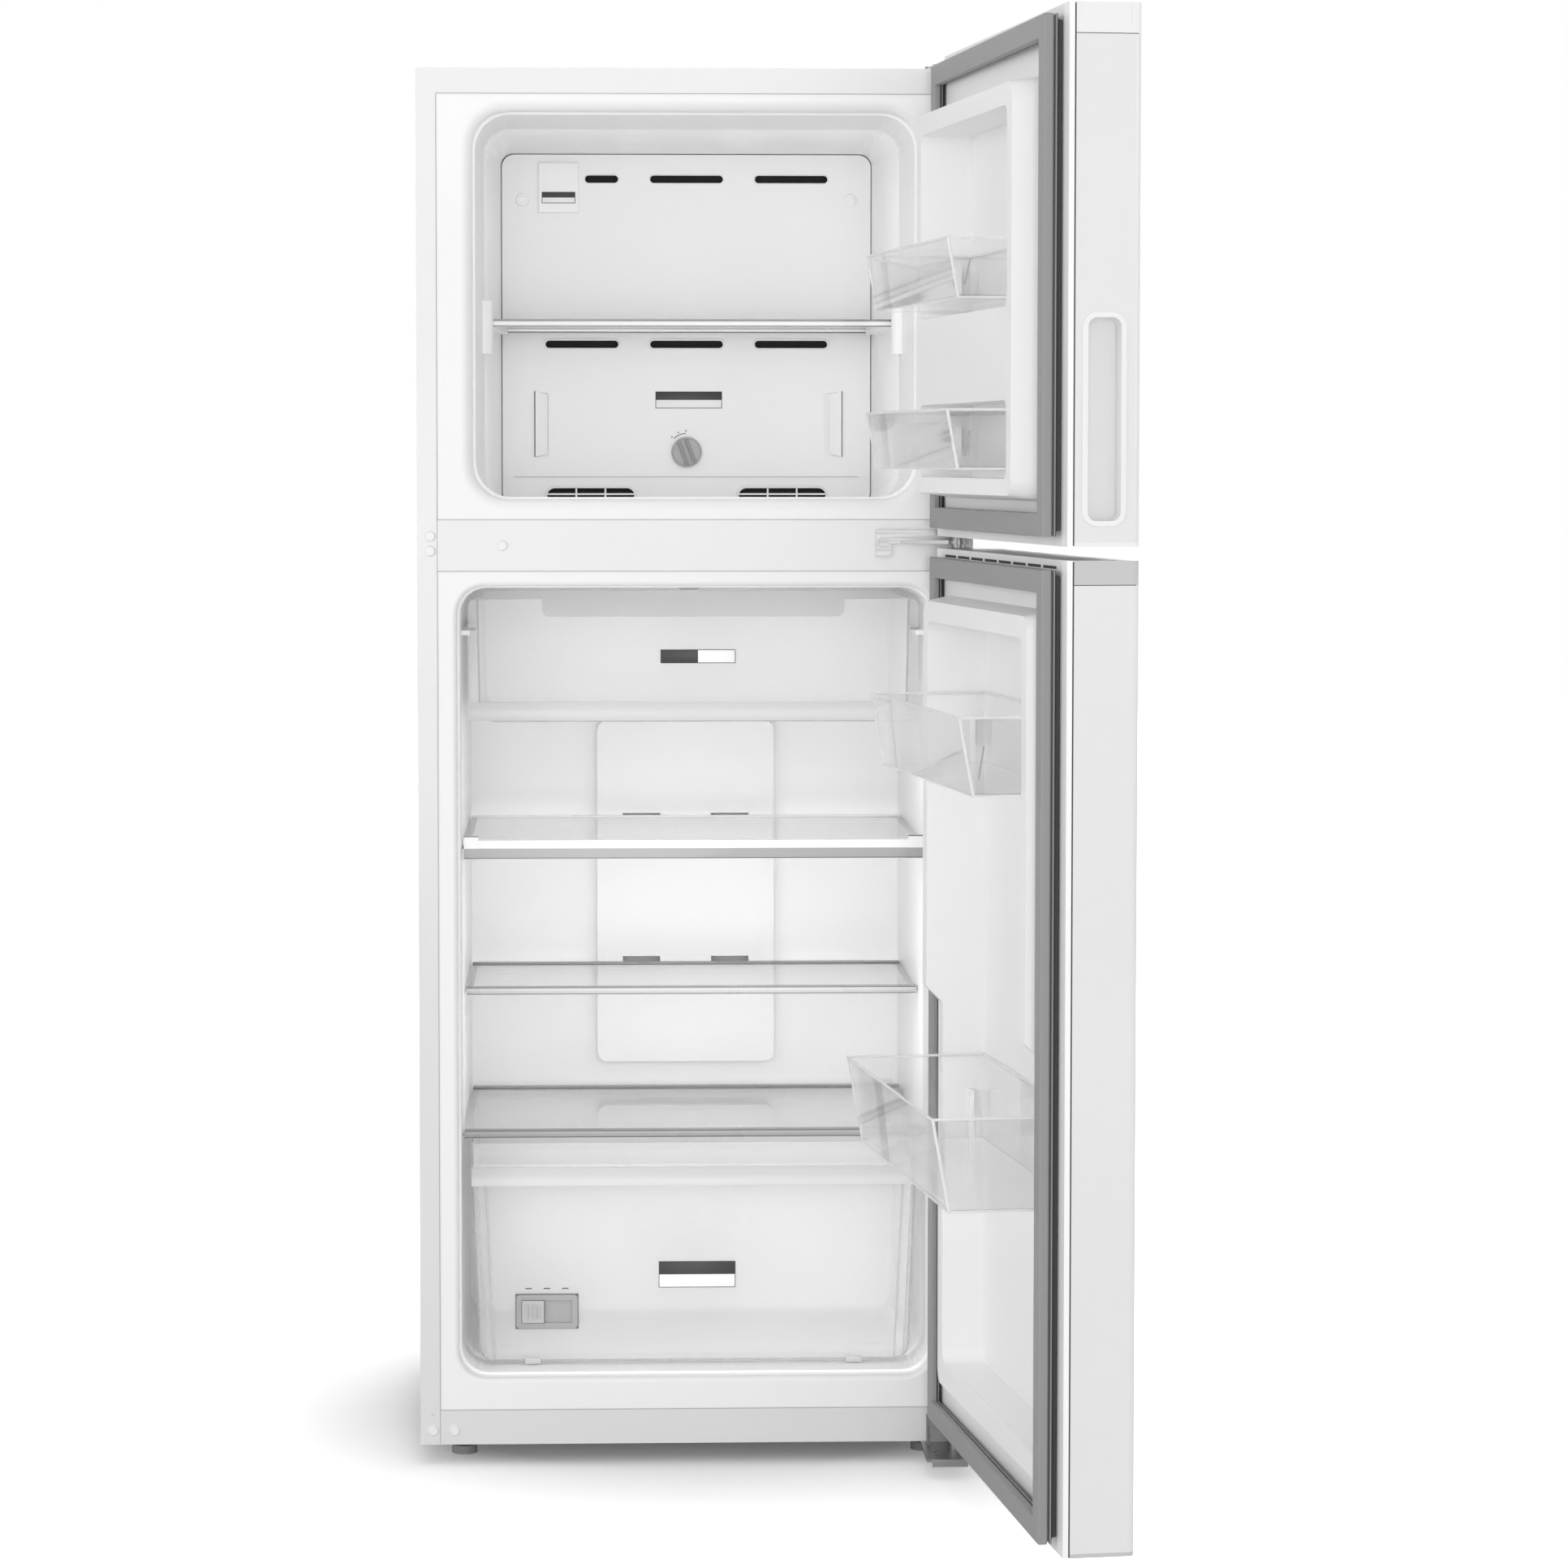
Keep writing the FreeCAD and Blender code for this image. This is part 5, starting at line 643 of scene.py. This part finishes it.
def seal_ring(low, high, outline, hinge_share):
    """The seal's outline carried round a rectangle with mitred corners, U measured inwards from its edge.

    V is scaled by the hinge's share at the two corners there, so that a drawer passes the open door.
    """
    x, z = mitred(low[[0, 2]], high[[0, 2]], outline[:, 0])
    share = np.array([hinge_share, 1, 1, hinge_share])[:, None]
    return np.stack([x, low[1] + outline[:, 1] * share, z], axis=-1)


class FRIDGE_OT_seals(bpy.types.Operator):
    """Makes the folded magnetic seals of both doors"""
    bl_idname = "fridge.seals"
    bl_label = "Door seals"

    def execute(self, context):
        sizes = context.scene.fridge_seal
        for door in ("freezer_door", "fridge_door"):
            swing = door + "_swing"
            low, high = shut_corners(door + "_gasket", swing)
            outline = seal_outline(SEAL_WIDTH, sizes.relaxed, sizes.fold)
            shut_share = (high[1] - low[1]) / sizes.relaxed
            points = turned(seal_ring(low, high, outline, shut_share), swing)
            piece = surface(door + "_folded_seal", points, wrap_u=True, wrap_v=True)
            smooth(piece, 40)
            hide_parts(door + "_gasket")
            finish(piece, "seal_rubber", door)
            # The neck's faces between the deep folds take a near-black: painted shade where the folds lie
            # dark.
            piece.data.materials.append(bpy.data.materials["seal_fold_painted_shade"])
            neck = (outline[:, 1] < 0.34 * sizes.relaxed).astype(np.int32)
            piece.data.polygons.foreach_set("material_index", np.tile(neck, 4))
            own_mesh(piece)
        return {"FINISHED"}


def tag(name, x, y, z, split, body, slot):
    """A bare two-tone tag: a dark plate, and a light field let into one half with a thin dark edge left."""
    low, high = np.array([x, y, z]).T
    finish(rounded_box(name + "_plate", low, high, 0.12 * MM, 3), "tag_dark", body)
    edge = 0.7 * MM
    middle = (low + high) / 2
    first, last = low + [edge, -0.15 * MM, edge], high - edge
    last[1] = low[1] + 0.2 * MM
    if split == "right":
        first[0] = middle[0]
    else:
        last[2] = middle[2]
    finish(rounded_box(name + "_field", first, last, 0.1 * MM, 3), "tag_light", body)


class FRIDGE_OT_tags(bpy.types.Operator):
    """Puts the bare two-tone tags on the drawers and the freezer's back panel, and the scale by the knob"""
    bl_idname = "fridge.tags"
    bl_label = "Bare tags and dial scale"

    def execute(self, context):
        thick = context.scene.fridge_trims.tag_thickness
        low, high = corners("evaporator_cover")
        face, z = (low[1] - thick, low[1]), high[2] - mm(292, 272.5)
        tag("freezer_tag", mm(-36, 41), face, z, "below", "cabinet", "panel_white")
        low, high = corners("icemaker_port_cover")
        x = (low[0] + 4 * MM, high[0] - 4 * MM)
        face, z = (low[1] - thick, low[1]), low[2] + mm(11, 24)
        tag("port_tag", x, face, z, "below", "cabinet", "panel_white")
        for drawer, x, rise, tall, split in (
            ("pantry", mm(-36, 46), 64, 15, "right"), ("crisper", mm(-39, 45), 84, 29, "below"),
        ):
            low, high = corners(drawer + "_drawer")
            face = (low[1] + FACE_SETBACK - thick, low[1] + FACE_SETBACK)
            z = low[2] + mm(rise, rise + tall)
            tag(drawer + "_tag", x, face, z, split, drawer, "clear_plastic")
        self.dial_scale(thick)
        self.humidity_scale(thick)
        return {"FINISHED"}

    def humidity_scale(self, thick):
        """Three short marks in a row over the humidity control."""
        low, high = corners("humidity_plate")
        half = 3.5 * MM
        z0, z1 = high[2] + 6 * MM, high[2] + 7.3 * MM
        middles = low[0] + np.array([0.2, 0.5, 0.8]) * (high[0] - low[0])
        spans = [((x - half, high[1] - thick, z0), (x + half, high[1], z1)) for x in middles]
        finish(boxes("humidity_marks", spans, 0.1 * MM, 3), "edge_grey", "crisper")

    def dial_scale(self, thick):
        """A thin arc over the knob's upper left, with a tick at each end and in the middle.

        The point at angle a is the knob's middle plus r (cos a, sin a), r going across the line's width.
        """
        face = corners("evaporator_cover")[0][1]
        centre = np.mean(corners("freezer_control_knob"), axis=0)
        ends = 92, 134
        angle = np.radians(np.linspace(*ends, 24))[:, None]
        radius = mm(21.2, 22, 22, 21.2)
        y = face - np.array([0, 0, 1, 1]) * thick / 2
        x, z = centre[0] + np.cos(angle) * radius, centre[2] + np.sin(angle) * radius
        marks = [block("dial_scale", x, y, z, shaded=False)]
        size = mm(0.7, 0, 0.7)
        for degrees in (ends[0], sum(ends) / 2, ends[1]):
            a = math.radians(degrees)
            at = centre + np.array([math.cos(a), 0, math.sin(a)]) * 24.6 * MM
            at[1] = face
            marks.append(rounded_box("dial_tick", at - size - [0, thick / 2, 0], at + size, 0.08 * MM, 3))
        finish(joined("dial_scale", marks), "tag_dark", "cabinet")


def spun(piece, centre, degrees):
    """Turns a piece made upright about an axis along Y through the centre."""
    a = math.radians(degrees)
    c, s = math.cos(a), math.sin(a)
    turn = np.array([[c, 0, s], [0, 1, 0], [-s, 0, c]])
    return moved(piece, (read_points(piece.data) - centre) @ turn + centre)


class FRIDGE_OT_bin_edges(bpy.types.Operator):
    """Adds the rims, corner beads and end slits of the door bins; the rims are real, and their near-white
    tone is a painted highlight for the bright edges of clear plastic
    """
    bl_idname = "fridge.bin_edges"
    bl_label = "Bin edges"

    def execute(self, context):
        for name in ("freezer_upper_bin", "freezer_lower_bin", "fridge_small_bin", "fridge_large_bin"):
            door = name.split("_")[0] + "_door"
            swing = door + "_swing"
            low, high = shut_corners(name, swing)
            lean = 0.18 * (high[2] - low[2])
            beads = [
                self.rim(low, high, high[2] - 2.2 * MM, 2.5 * MM),
                self.rim(low, high - [0, lean, 0], low[2] - 0.2 * MM, 2 * MM),
            ]
            beads += [self.corner(x, low, high, lean) for x in (low[0] + BEAD_INSET, high[0] - BEAD_INSET)]
            finish(swung(joined(name + "_beads", beads), swing), "bead_plastic", door)
            if name != "fridge_large_bin":
                finish(swung(self.slit(name, low, high), swing), "grey_seam_and_painted_shade", door)
        return {"FINISHED"}

    def rim(self, low, high, z, tall):
        """A flat bead round the rectangle from low to high; U runs inwards from its edge."""
        u = mm(-0.2, -0.2, 0.3, 1.9, 2.4, 2.4, 1.9, 0.3)
        v = z + np.array([0.3, 0.7, 1, 1, 0.7, 0.3, 0, 0]) * tall
        grid = np.broadcast_arrays(*mitred(low, high, u), v)
        return surface("bead", np.stack(grid, axis=-1), wrap_u=True, wrap_v=True)

    def corner(self, x, low, high, lean):
        """A round bead down a front corner, which leans back by the given amount at its foot."""
        a = np.linspace(0, 2 * math.pi, 12, endpoint=False)
        y = np.array([[high[1] - lean], [high[1]]]) - BEAD_INSET + BEAD_RADIUS * np.sin(a)
        z = np.array([[low[2] + 1 * MM], [high[2] - 1 * MM]])
        return block("bead", x + BEAD_RADIUS * np.cos(a), y, z)

    def slit(self, name, low, high):
        """A thin slanted mark of the hook on the bin's latch end."""
        x = low[0] + mm(-0.25, -0.25, 0.4, 0.4)
        across = mm([1.6, 3.2, 3.2, 1.6], [-3.4, -2.0, -2.0, -3.4])
        y = low[1] + 0.82 * (high[1] - low[1]) + across
        z = low[2] + np.array([[0.22], [0.64]]) * (high[2] - low[2])
        return block(name + "_slit", x, y, z, shaded=False)


class FRIDGE_OT_knob(bpy.types.Operator):
    """Makes the air control's knob: a round cap with two slanted ridges, on its shaft"""
    bl_idname = "fridge.knob"
    bl_label = "Air control knob"

    def execute(self, context):
        low, high = corners("freezer_control_knob")
        centre = (low + high) / 2
        centre[1] = low[1] + 8.8 * MM
        radius = (high[0] - low[0]) / 2
        r = radius / MM
        profile = mm(
            [4, (centre[1] - high[1]) / MM], [4, 0], [r, 0], [r, 3.4], [r - 0.3, 4.2], [r - 1, 4.8],
            [r - 2.2, 5], [r - 2.6, 4.5], [0.5, 4.5],
        )
        cap = lathe("freezer_knob_cap", centre, (0, -1, 0), profile, sides=64)
        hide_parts("freezer_control_knob")
        finish(cap, "knob_plastic", "freezer_knob")
        ridges = []
        for x in (-6.4 * MM, 2.6 * MM):
            first = centre + [x, -8.6 * MM, -radius * 0.84]
            last = centre + [x + 3.8 * MM, -4.3 * MM, radius * 0.84]
            ridges.append(spun(rounded_box("ridge", first, last, 1.2 * MM), centre, 20))
        finish(joined("freezer_knob_ridges", ridges), "knob_ridge", "freezer_knob")
        return {"FINISHED"}


class FRIDGE_OT_screws(bpy.types.Operator):
    """Puts in the top hinge's screws and the screw caps of the freezer's back panel"""
    bl_idname = "fridge.screws"
    bl_label = "Screws and caps"

    def execute(self, context):
        low, high = corners("top_hinge")
        head = mm((5.4, 0), (5.4, 2.6), (4.8, 3.2), (2.2, 3.2), (1.8, 1.2))
        heads = [
            lathe("hinge_screw", (high[0] - inset * MM, y * MM, high[2] - 0.1 * MM), (0, 0, 1), head, 6)
            for inset, y in ((32, 18), (12, 18), (22, 50))
        ]
        finish(joined("top_hinge_screws", heads), "satin_nickel", "cabinet")
        low, high = corners("evaporator_cover")
        cap = mm((7.5, -0.1), (7.5, 0.9), (6.8, 1.7), (4.0, 2.0), (3.4, 1.5), (1.2, 1.5))
        caps = [
            lathe("panel_cap", (x * MM, low[1], high[2] - 52 * MM), (0, -1, 0), cap, sides=40)
            for x in (-189, 189)
        ]
        finish(joined("panel_screw_caps", caps), "trim_plastic", "cabinet")
        return {"FINISHED"}


class FRIDGE_OT_trims(bpy.types.Operator):
    """Adds the drawers' pull faces and ridges, the back panel's finger ribs and the front's seams"""
    bl_idname = "fridge.trims"
    bl_label = "Trims and seams"

    def execute(self, context):
        self.pull_faces()
        self.drawer_ridges()
        self.panel_ribs()
        self.panel_lines()
        self.panel_rims()
        self.switch_frames()
        self.painted_shade_sheets()
        trims = context.scene.fridge_trims
        self.front_seams(trims.seam_width)
        self.door_seams(trims.seam_width)
        self.door_vents(trims)
        return {"FINISHED"}

    def pull_faces(self):
        """A cove along each drawer's pull: depth = 1.5 mm * sin(pi t), t from foot to top."""
        for node, body, rise in (("pantry_drawer", "pantry", 2), ("crisper_drawer", "crisper", 199)):
            low, high = corners(node)
            t = np.linspace(0, 1, 13)
            z = low[2] + (rise + 20 * t) * MM
            front = low[1] - 1.8 * MM + 1.5 * MM * np.sin(math.pi * t)
            back = np.full_like(front, low[1] + 0.3 * MM)
            y, z = np.concatenate([front, back]), np.concatenate([z, z[::-1]])
            x = np.array([[low[0] + 1 * MM], [high[0] - 1 * MM]])
            finish(block(body + "_pull_face", x, y, z), "cove_plastic", body)

    def drawer_ridges(self):
        """Two slanted ridges down each side of the crisper's front, and two small tabs at its foot."""
        low, high = corners("crisper_drawer")
        face = low[1] + FACE_SETBACK
        ridges = []
        for side in (-1, 1):
            for top, bottom in ((228, 219), (238, 229)):
                x = side * mm([bottom], [top]) + mm(-0.9, 0.9, 0.5, -0.5)
                y = face - mm(0, 0, 1.4, 1.4)
                z = low[2] + mm([6], [196])
                ridges.append(block("ridge", x, y, z, shaded=False))
        for x in (-177, 175):
            foot = mm(x - 9, 0, 0.5) + [0, face - 3 * MM, low[2]]
            ridges.append(rounded_box("tab", foot, foot + mm(18, 3, 7), 1 * MM))
        finish(joined("crisper_ridges", ridges), "cove_plastic", "crisper")

    def panel_ribs(self):
        """Two finger ribs on the back panel: each falls from its outer edge to nothing."""
        low, high = corners("evaporator_cover")
        ribs = []
        for side, edge in ((-1, 175), (1, 179.5)):
            x = side * mm(edge, edge, edge - 4, edge - 14)
            y = low[1] - mm(-0.2, 3.2, 2.6, -0.2)
            slope = mm(0, 0, 1.5, 4)
            z = high[2] + np.stack([RIBS_LOW + slope, RIBS_HIGH - slope])
            ribs.append(block("rib", x, y, z, shaded=False))
        finish(joined("panel_finger_ribs", ribs), "panel_plastic", "cabinet")

    def panel_lines(self):
        """Thin dark lines on the back panel: painted shade down both finger ribs' outer edges, where the
        ribs' shadow falls, and along its low step.
        """
        low, high = corners("evaporator_cover")
        y, back, half = low[1], low[1] + SEAM_DEPTH, 0.5 * MM
        z0, z1 = high[2] + RIBS_LOW, high[2] + RIBS_HIGH
        spans = [((x - half, y - 1.2 * MM, z0), (x + half, back, z1)) for x in (-175.6 * MM, 180 * MM)]
        finish(boxes("finger_rib_painted_shadows", spans, 0.1 * MM), "dark_seam_and_painted_shade", "cabinet")
        step = high[2] - 371.5 * MM
        span = (low[0] + 14 * MM, y - 0.15 * MM, step), (high[0] - 14 * MM, back, step + 0.6 * MM)
        finish(boxes("step_painted_shade_line", [span]), "grey_seam_and_painted_shade", "cabinet")

    def panel_rims(self):
        """Raised rims round the back panel's openings.

        Each follows an opening's outline, a run between two half circles: the point at angle a is the
        run's end plus r (cos a, sin a), and r goes across the rim from its inner to its outer edge.
        """
        low, high = corners("evaporator_cover")
        upper, lower, foot = high[2] - 28 * MM, high[2] - 218 * MM, low[2] + 12 * MM
        openings = [(x, lower, 84, 8.5, 2.6) for x in (-121, 0, 121)]
        openings += [(x, upper, 84, 8.5, 1.2) for x in (0, 121)] + [(-98, upper, 38, 8.5, 1.2)]
        openings += [(x, foot, 101, 18, 2.6) for x in (-111, 111)]
        steps = 14
        a = np.concatenate([np.linspace(-1, 1, steps), np.linspace(1, 3, steps)])[:, None] * math.pi / 2
        end = np.array([-1, 1]).repeat(steps)[:, None]
        across = np.array([0.02, 0.1, 0.5, 0.9, 1.0])
        y = low[1] - mm(-0.3, 0.5, 0.9, 0.5, -0.3)
        rims = []
        for x0, z0, length, height, width in openings:
            r = (height / 2 + 0.1 + across * width) * MM
            x = (x0 - end * (length - height) / 2) * MM + r * np.cos(a)
            grid = np.broadcast_arrays(x, y, z0 + r * np.sin(a))
            rims.append(surface("rim", np.stack(grid, axis=-1), wrap_u=True, wrap_v=True))
        rim = joined("panel_rims", rims)
        smooth(rim, 60)
        finish(rim, "trim_plastic", "cabinet")

    def switch_frames(self):
        """Thin dark edges round the humidity control's plate and its slider."""
        front, back = (corner[1] for corner in corners("humidity_plate"))
        for node, rim, face, body in (
            ("humidity_plate", 0.9 * MM, back, "crisper"),
            ("humidity_slider", 0.7 * MM, front, "humidity_control"),
        ):
            low, high = corners(node)
            first = (low[0] - rim, face - 0.6 * MM, low[2] - rim)
            last = (high[0] + rim, face - 0.1 * MM, high[2] + rim)
            finish(rounded_box(node + "_edge", first, last, 0.15 * MM, 3), "edge_grey", body)

    def painted_shade_sheets(self):
        """Two near-black sheets behind the back panel's openings, clear of the knob's shaft between them:
        painted shade for the dark inside the panel.
        """
        low, high = corners("evaporator_cover")
        x0, x1, y = low[0] + 12 * MM, high[0] - 12 * MM, low[1] + 7 * MM
        heights = (low[2] + 5 * MM, low[2] + 41 * MM), (low[2] + 85 * MM, high[2] - 8 * MM)
        spans = [((x0, y, z0), (x1, y + 2 * MM, z1)) for z0, z1 in heights]
        finish(boxes("painted_shade_sheets", spans, 0.9 * MM, 4), "painted_shade_black", "cabinet")

    def front_seams(self, width):
        """Thin seams where the linings and rails meet the cabinet's front flange."""
        low, high = corners("outer_cabinet")
        front, back = low[1] - SEAM_LIP, low[1] + SEAM_DEPTH
        edge = corners("freezer_liner")[1][0]
        foot, rail_top = (corner[2] for corner in corners("bottom_rail"))
        levels = [corner[2] for corner in corners("middle_rail")] + [rail_top, high[2] - FLANGE]
        half = width / 2
        foot += 1 * MM
        spans = [((x - half, front, foot), (x + half, back, levels[-1])) for x in (-edge, edge)]
        spans += [((-edge, front, z - half), (edge, back, z + half)) for z in levels]
        finish(boxes("front_seams", spans), "grey_seam_and_painted_shade", "cabinet")

    def door_seams(self, width):
        """The seam down each door's latch edge between skin and lining, and the one under each top cap."""
        for door in ("freezer_door", "fridge_door"):
            swing = door + "_swing"
            skin_low, skin_high = shut_corners(door + "_skin", swing)
            liner_low, liner_high = shut_corners(door + "_liner", swing)
            y = shut_corners(door + "_caps", swing)[1][1]
            outer, inner = skin_low[0] - SEAM_LIP, skin_low[0] + SEAM_DEPTH
            foot, top = liner_low[2] + 1 * MM, liner_high[2] - 1 * MM
            cap, half = skin_high[2], width / 2
            spans = [
                ((outer, y - width, foot), (inner, y + width, top)),
                ((outer, skin_low[1] + 4 * MM, cap - half), (inner, y, cap + half)),
            ]
            finish(swung(boxes(door + "_seams", spans), swing), "dark_seam_and_painted_shade", door)

    def door_vents(self, trims):
        """A row of dark marks for the vents through the lining just above the lower door's seal: painted
        shade for the dark inside each vent.
        """
        swing = "fridge_door_swing"
        top = shut_corners("fridge_door_liner", swing)[1][2]
        face = shut_corners("fridge_door_gasket", swing)[0][1]
        gap = 10 * MM
        pitch = trims.dash_length + gap
        first = (gap - pitch * trims.dash_count) / 2
        spans = []
        for i in range(trims.dash_count):
            corner = np.array([first + i * pitch, face - 0.5 * MM, top - 8.8 * MM])
            spans.append((corner, corner + (trims.dash_length, 0.62 * MM, 2.8 * MM)))
        piece = swung(boxes("fridge_door_vent_painted_shade", spans, 0.1 * MM), swing)
        finish(piece, "dark_seam_and_painted_shade", "fridge_door")


def area_lamp(name, shape, wide, tall, watts, place):
    lamp = bpy.data.lights.new(name, "AREA")
    lamp.shape, lamp.size, lamp.size_y, lamp.energy = shape, wide, tall, watts
    light = placed(name, lamp)
    light.location = place
    return light


class FRIDGE_OT_stage(bpy.types.Operator):
    """Makes the floor, the lamps, the world and the camera"""
    bl_idname = "fridge.stage"
    bl_label = "Studio"

    def execute(self, context):
        scene = context.scene
        studio = scene.fridge_studio
        scene.view_settings.view_transform = "Standard"
        self.floor()
        self.world(scene, studio)
        self.lamps(studio)
        lens = bpy.data.cameras.new("studio_camera")
        lens.lens, lens.shift_x, lens.shift_y = studio.lens, studio.shift_x, studio.shift_y
        lens.clip_end = 100
        camera = placed("studio_camera", lens)
        camera.location = (-studio.offset, -studio.distance, studio.height)
        camera.rotation_euler = (math.pi / 2 - studio.tilt, 0, -studio.turn)
        scene.camera = camera
        return {"FINISHED"}

    def floor(self):
        """A wide plane, a little lit from itself for the camera, so that it is white and keeps shadows. The
        glow is weak near the cabinet, which paints a darker halo of shade round it beside its real shadow.
        """
        u = np.linspace(-14, 14, 3)
        x, y = np.meshgrid(u, u, indexing="ij")
        floor = surface("studio_floor", np.stack([x, y, np.zeros_like(x)], axis=-1))
        material = bpy.data.materials.new("studio_floor")
        tree, out = emptied(material, "ShaderNodeOutputMaterial")
        nodes, links = tree.nodes, tree.links
        shade = nodes.new("ShaderNodeBsdfDiffuse")
        shade.inputs["Color"].default_value = grey(0.9)
        glow = nodes.new("ShaderNodeEmission")
        away = nodes.new("ShaderNodeVectorMath")
        away.operation = "DISTANCE"
        away.inputs[1].default_value = (0, 0.28, 0)
        links.new(nodes.new("ShaderNodeTexCoord").outputs["Object"], away.inputs[0])
        # painted shade: the glow grows with distance from the cabinet, so the floor is darker near it
        glow_with_painted_shade = spread(tree, away.outputs["Value"], 0.08, 1.0, start=0.3, end=0.85)
        camera_ray = nodes.new("ShaderNodeLightPath").outputs["Is Camera Ray"]
        links.new(math_node(tree, "MULTIPLY", glow_with_painted_shade, camera_ray), glow.inputs["Strength"])
        links.new(combined(tree, "ShaderNodeAddShader", shade.outputs[0], glow.outputs[0]), out)
        floor.data.materials.append(material)

    def world(self, scene, studio):
        """Soft light all round, and plain white where the camera, gloss or glass sees past the object."""
        world = bpy.data.worlds.new("studio_world")
        scene.world = world
        tree, out = emptied(world, "ShaderNodeOutputWorld")
        soft = tree.nodes.new("ShaderNodeBackground")
        white = tree.nodes.new("ShaderNodeBackground")
        for background, strength in ((soft, studio.fill), (white, 1.0)):
            background.inputs["Color"].default_value = grey(1.0)
            background.inputs["Strength"].default_value = strength
        path = tree.nodes.new("ShaderNodeLightPath")
        seen = path.outputs["Is Camera Ray"]
        for label in ("Is Glossy Ray", "Is Transmission Ray"):
            seen = math_node(tree, "MAXIMUM", seen, path.outputs[label])
        both = combined(tree, "ShaderNodeMixShader", seen, soft.outputs[0], white.outputs[0])
        tree.links.new(both, out)

    def lamps(self, studio):
        """Wide soft discs round the object that look at its middle, and the lamps inside."""
        for name, place, size, share in (
            ("front_lamp", (-0.1, -6.5, 1.2), 2.4, 0.75),
            ("left_lamp", (-4.5, -3.2, 1.8), 2.6, 0.5),
            ("right_lamp", (4.8, -3.2, 2.0), 2.6, 0.45),
            ("top_lamp", (0.2, -1.2, 4.4), 2.6, 0.12),
            ("back_lamp", (0.8, 5.0, 2.2), 2.6, 0.6),
        ):
            light = area_lamp(name, "DISK", size, size, studio.lamps * share, place)
            aim = np.array(LAMP_AIM) - place
            lean = math.atan2(math.hypot(aim[0], aim[1]), -aim[2])
            light.rotation_euler = (lean, 0, math.atan2(-aim[0], aim[1]))
        self.inner_lamps(studio)

    def inner_lamps(self, studio):
        """Two soft lamps as wide as each compartment's mouth, which shine into it and aren't seen."""
        for liner, depth, share in (
            ("freezer_liner", 8 * MM, 0.2), ("freezer_liner", 145 * MM, 0.6),
            ("fridge_liner", 8 * MM, 0.6), ("fridge_liner", 92 * MM, 1.7),
        ):
            low, high = corners(liner)
            wide, _, tall = high - low - 70 * MM
            place = (low + high) / 2
            place[1] = low[1] + depth
            watts = studio.inner * share * wide * tall
            light = area_lamp(liner + "_lamp", "RECTANGLE", wide, tall, watts, place)
            light.rotation_euler = (math.pi / 2, 0, 0)
            light.visible_camera = light.visible_glossy = light.visible_transmission = False


class FRIDGE_PT_panel(bpy.types.Panel):
    """The refrigerator's settings and steps"""
    bl_label = "Refrigerator"
    bl_idname = "FRIDGE_PT_panel"
    bl_space_type = "VIEW_3D"
    bl_region_type = "UI"
    bl_category = "Refrigerator"

    def draw(self, context):
        layout = self.layout
        for label in GROUPS:
            group = getattr(context.scene, label)
            column = layout.column(align=True)
            for name in group.bl_rna.properties.keys():
                if name not in ("rna_type", "name"):
                    column.prop(group, name)
        for operator in OPERATORS:
            layout.operator(operator.bl_idname)


GROUPS = {
    "fridge_colours": FinishColours,
    "fridge_seal": SealSizes,
    "fridge_trims": TrimSizes,
    "fridge_studio": StudioSettings,
}
OPERATORS = (
    FRIDGE_OT_finishes, FRIDGE_OT_seals, FRIDGE_OT_tags, FRIDGE_OT_bin_edges,
    FRIDGE_OT_knob, FRIDGE_OT_screws, FRIDGE_OT_trims, FRIDGE_OT_stage,
)


def register():
    for kind in (*GROUPS.values(), *OPERATORS, FRIDGE_PT_panel):
        bpy.utils.register_class(kind)
    for name, group in GROUPS.items():
        setattr(bpy.types.Scene, name, bpy.props.PointerProperty(type=group))


def unregister():
    for name in GROUPS:
        delattr(bpy.types.Scene, name)
    for kind in (FRIDGE_PT_panel, *reversed(OPERATORS), *GROUPS.values()):
        bpy.utils.unregister_class(kind)


def main():
    register()
    bpy.ops.fridge.finishes()
    bpy.ops.fridge.seals()
    bpy.ops.fridge.tags()
    bpy.ops.fridge.bin_edges()
    bpy.ops.fridge.knob()
    bpy.ops.fridge.screws()
    bpy.ops.fridge.trims()
    bpy.ops.fridge.stage()


if __name__ == "__main__":
    main()
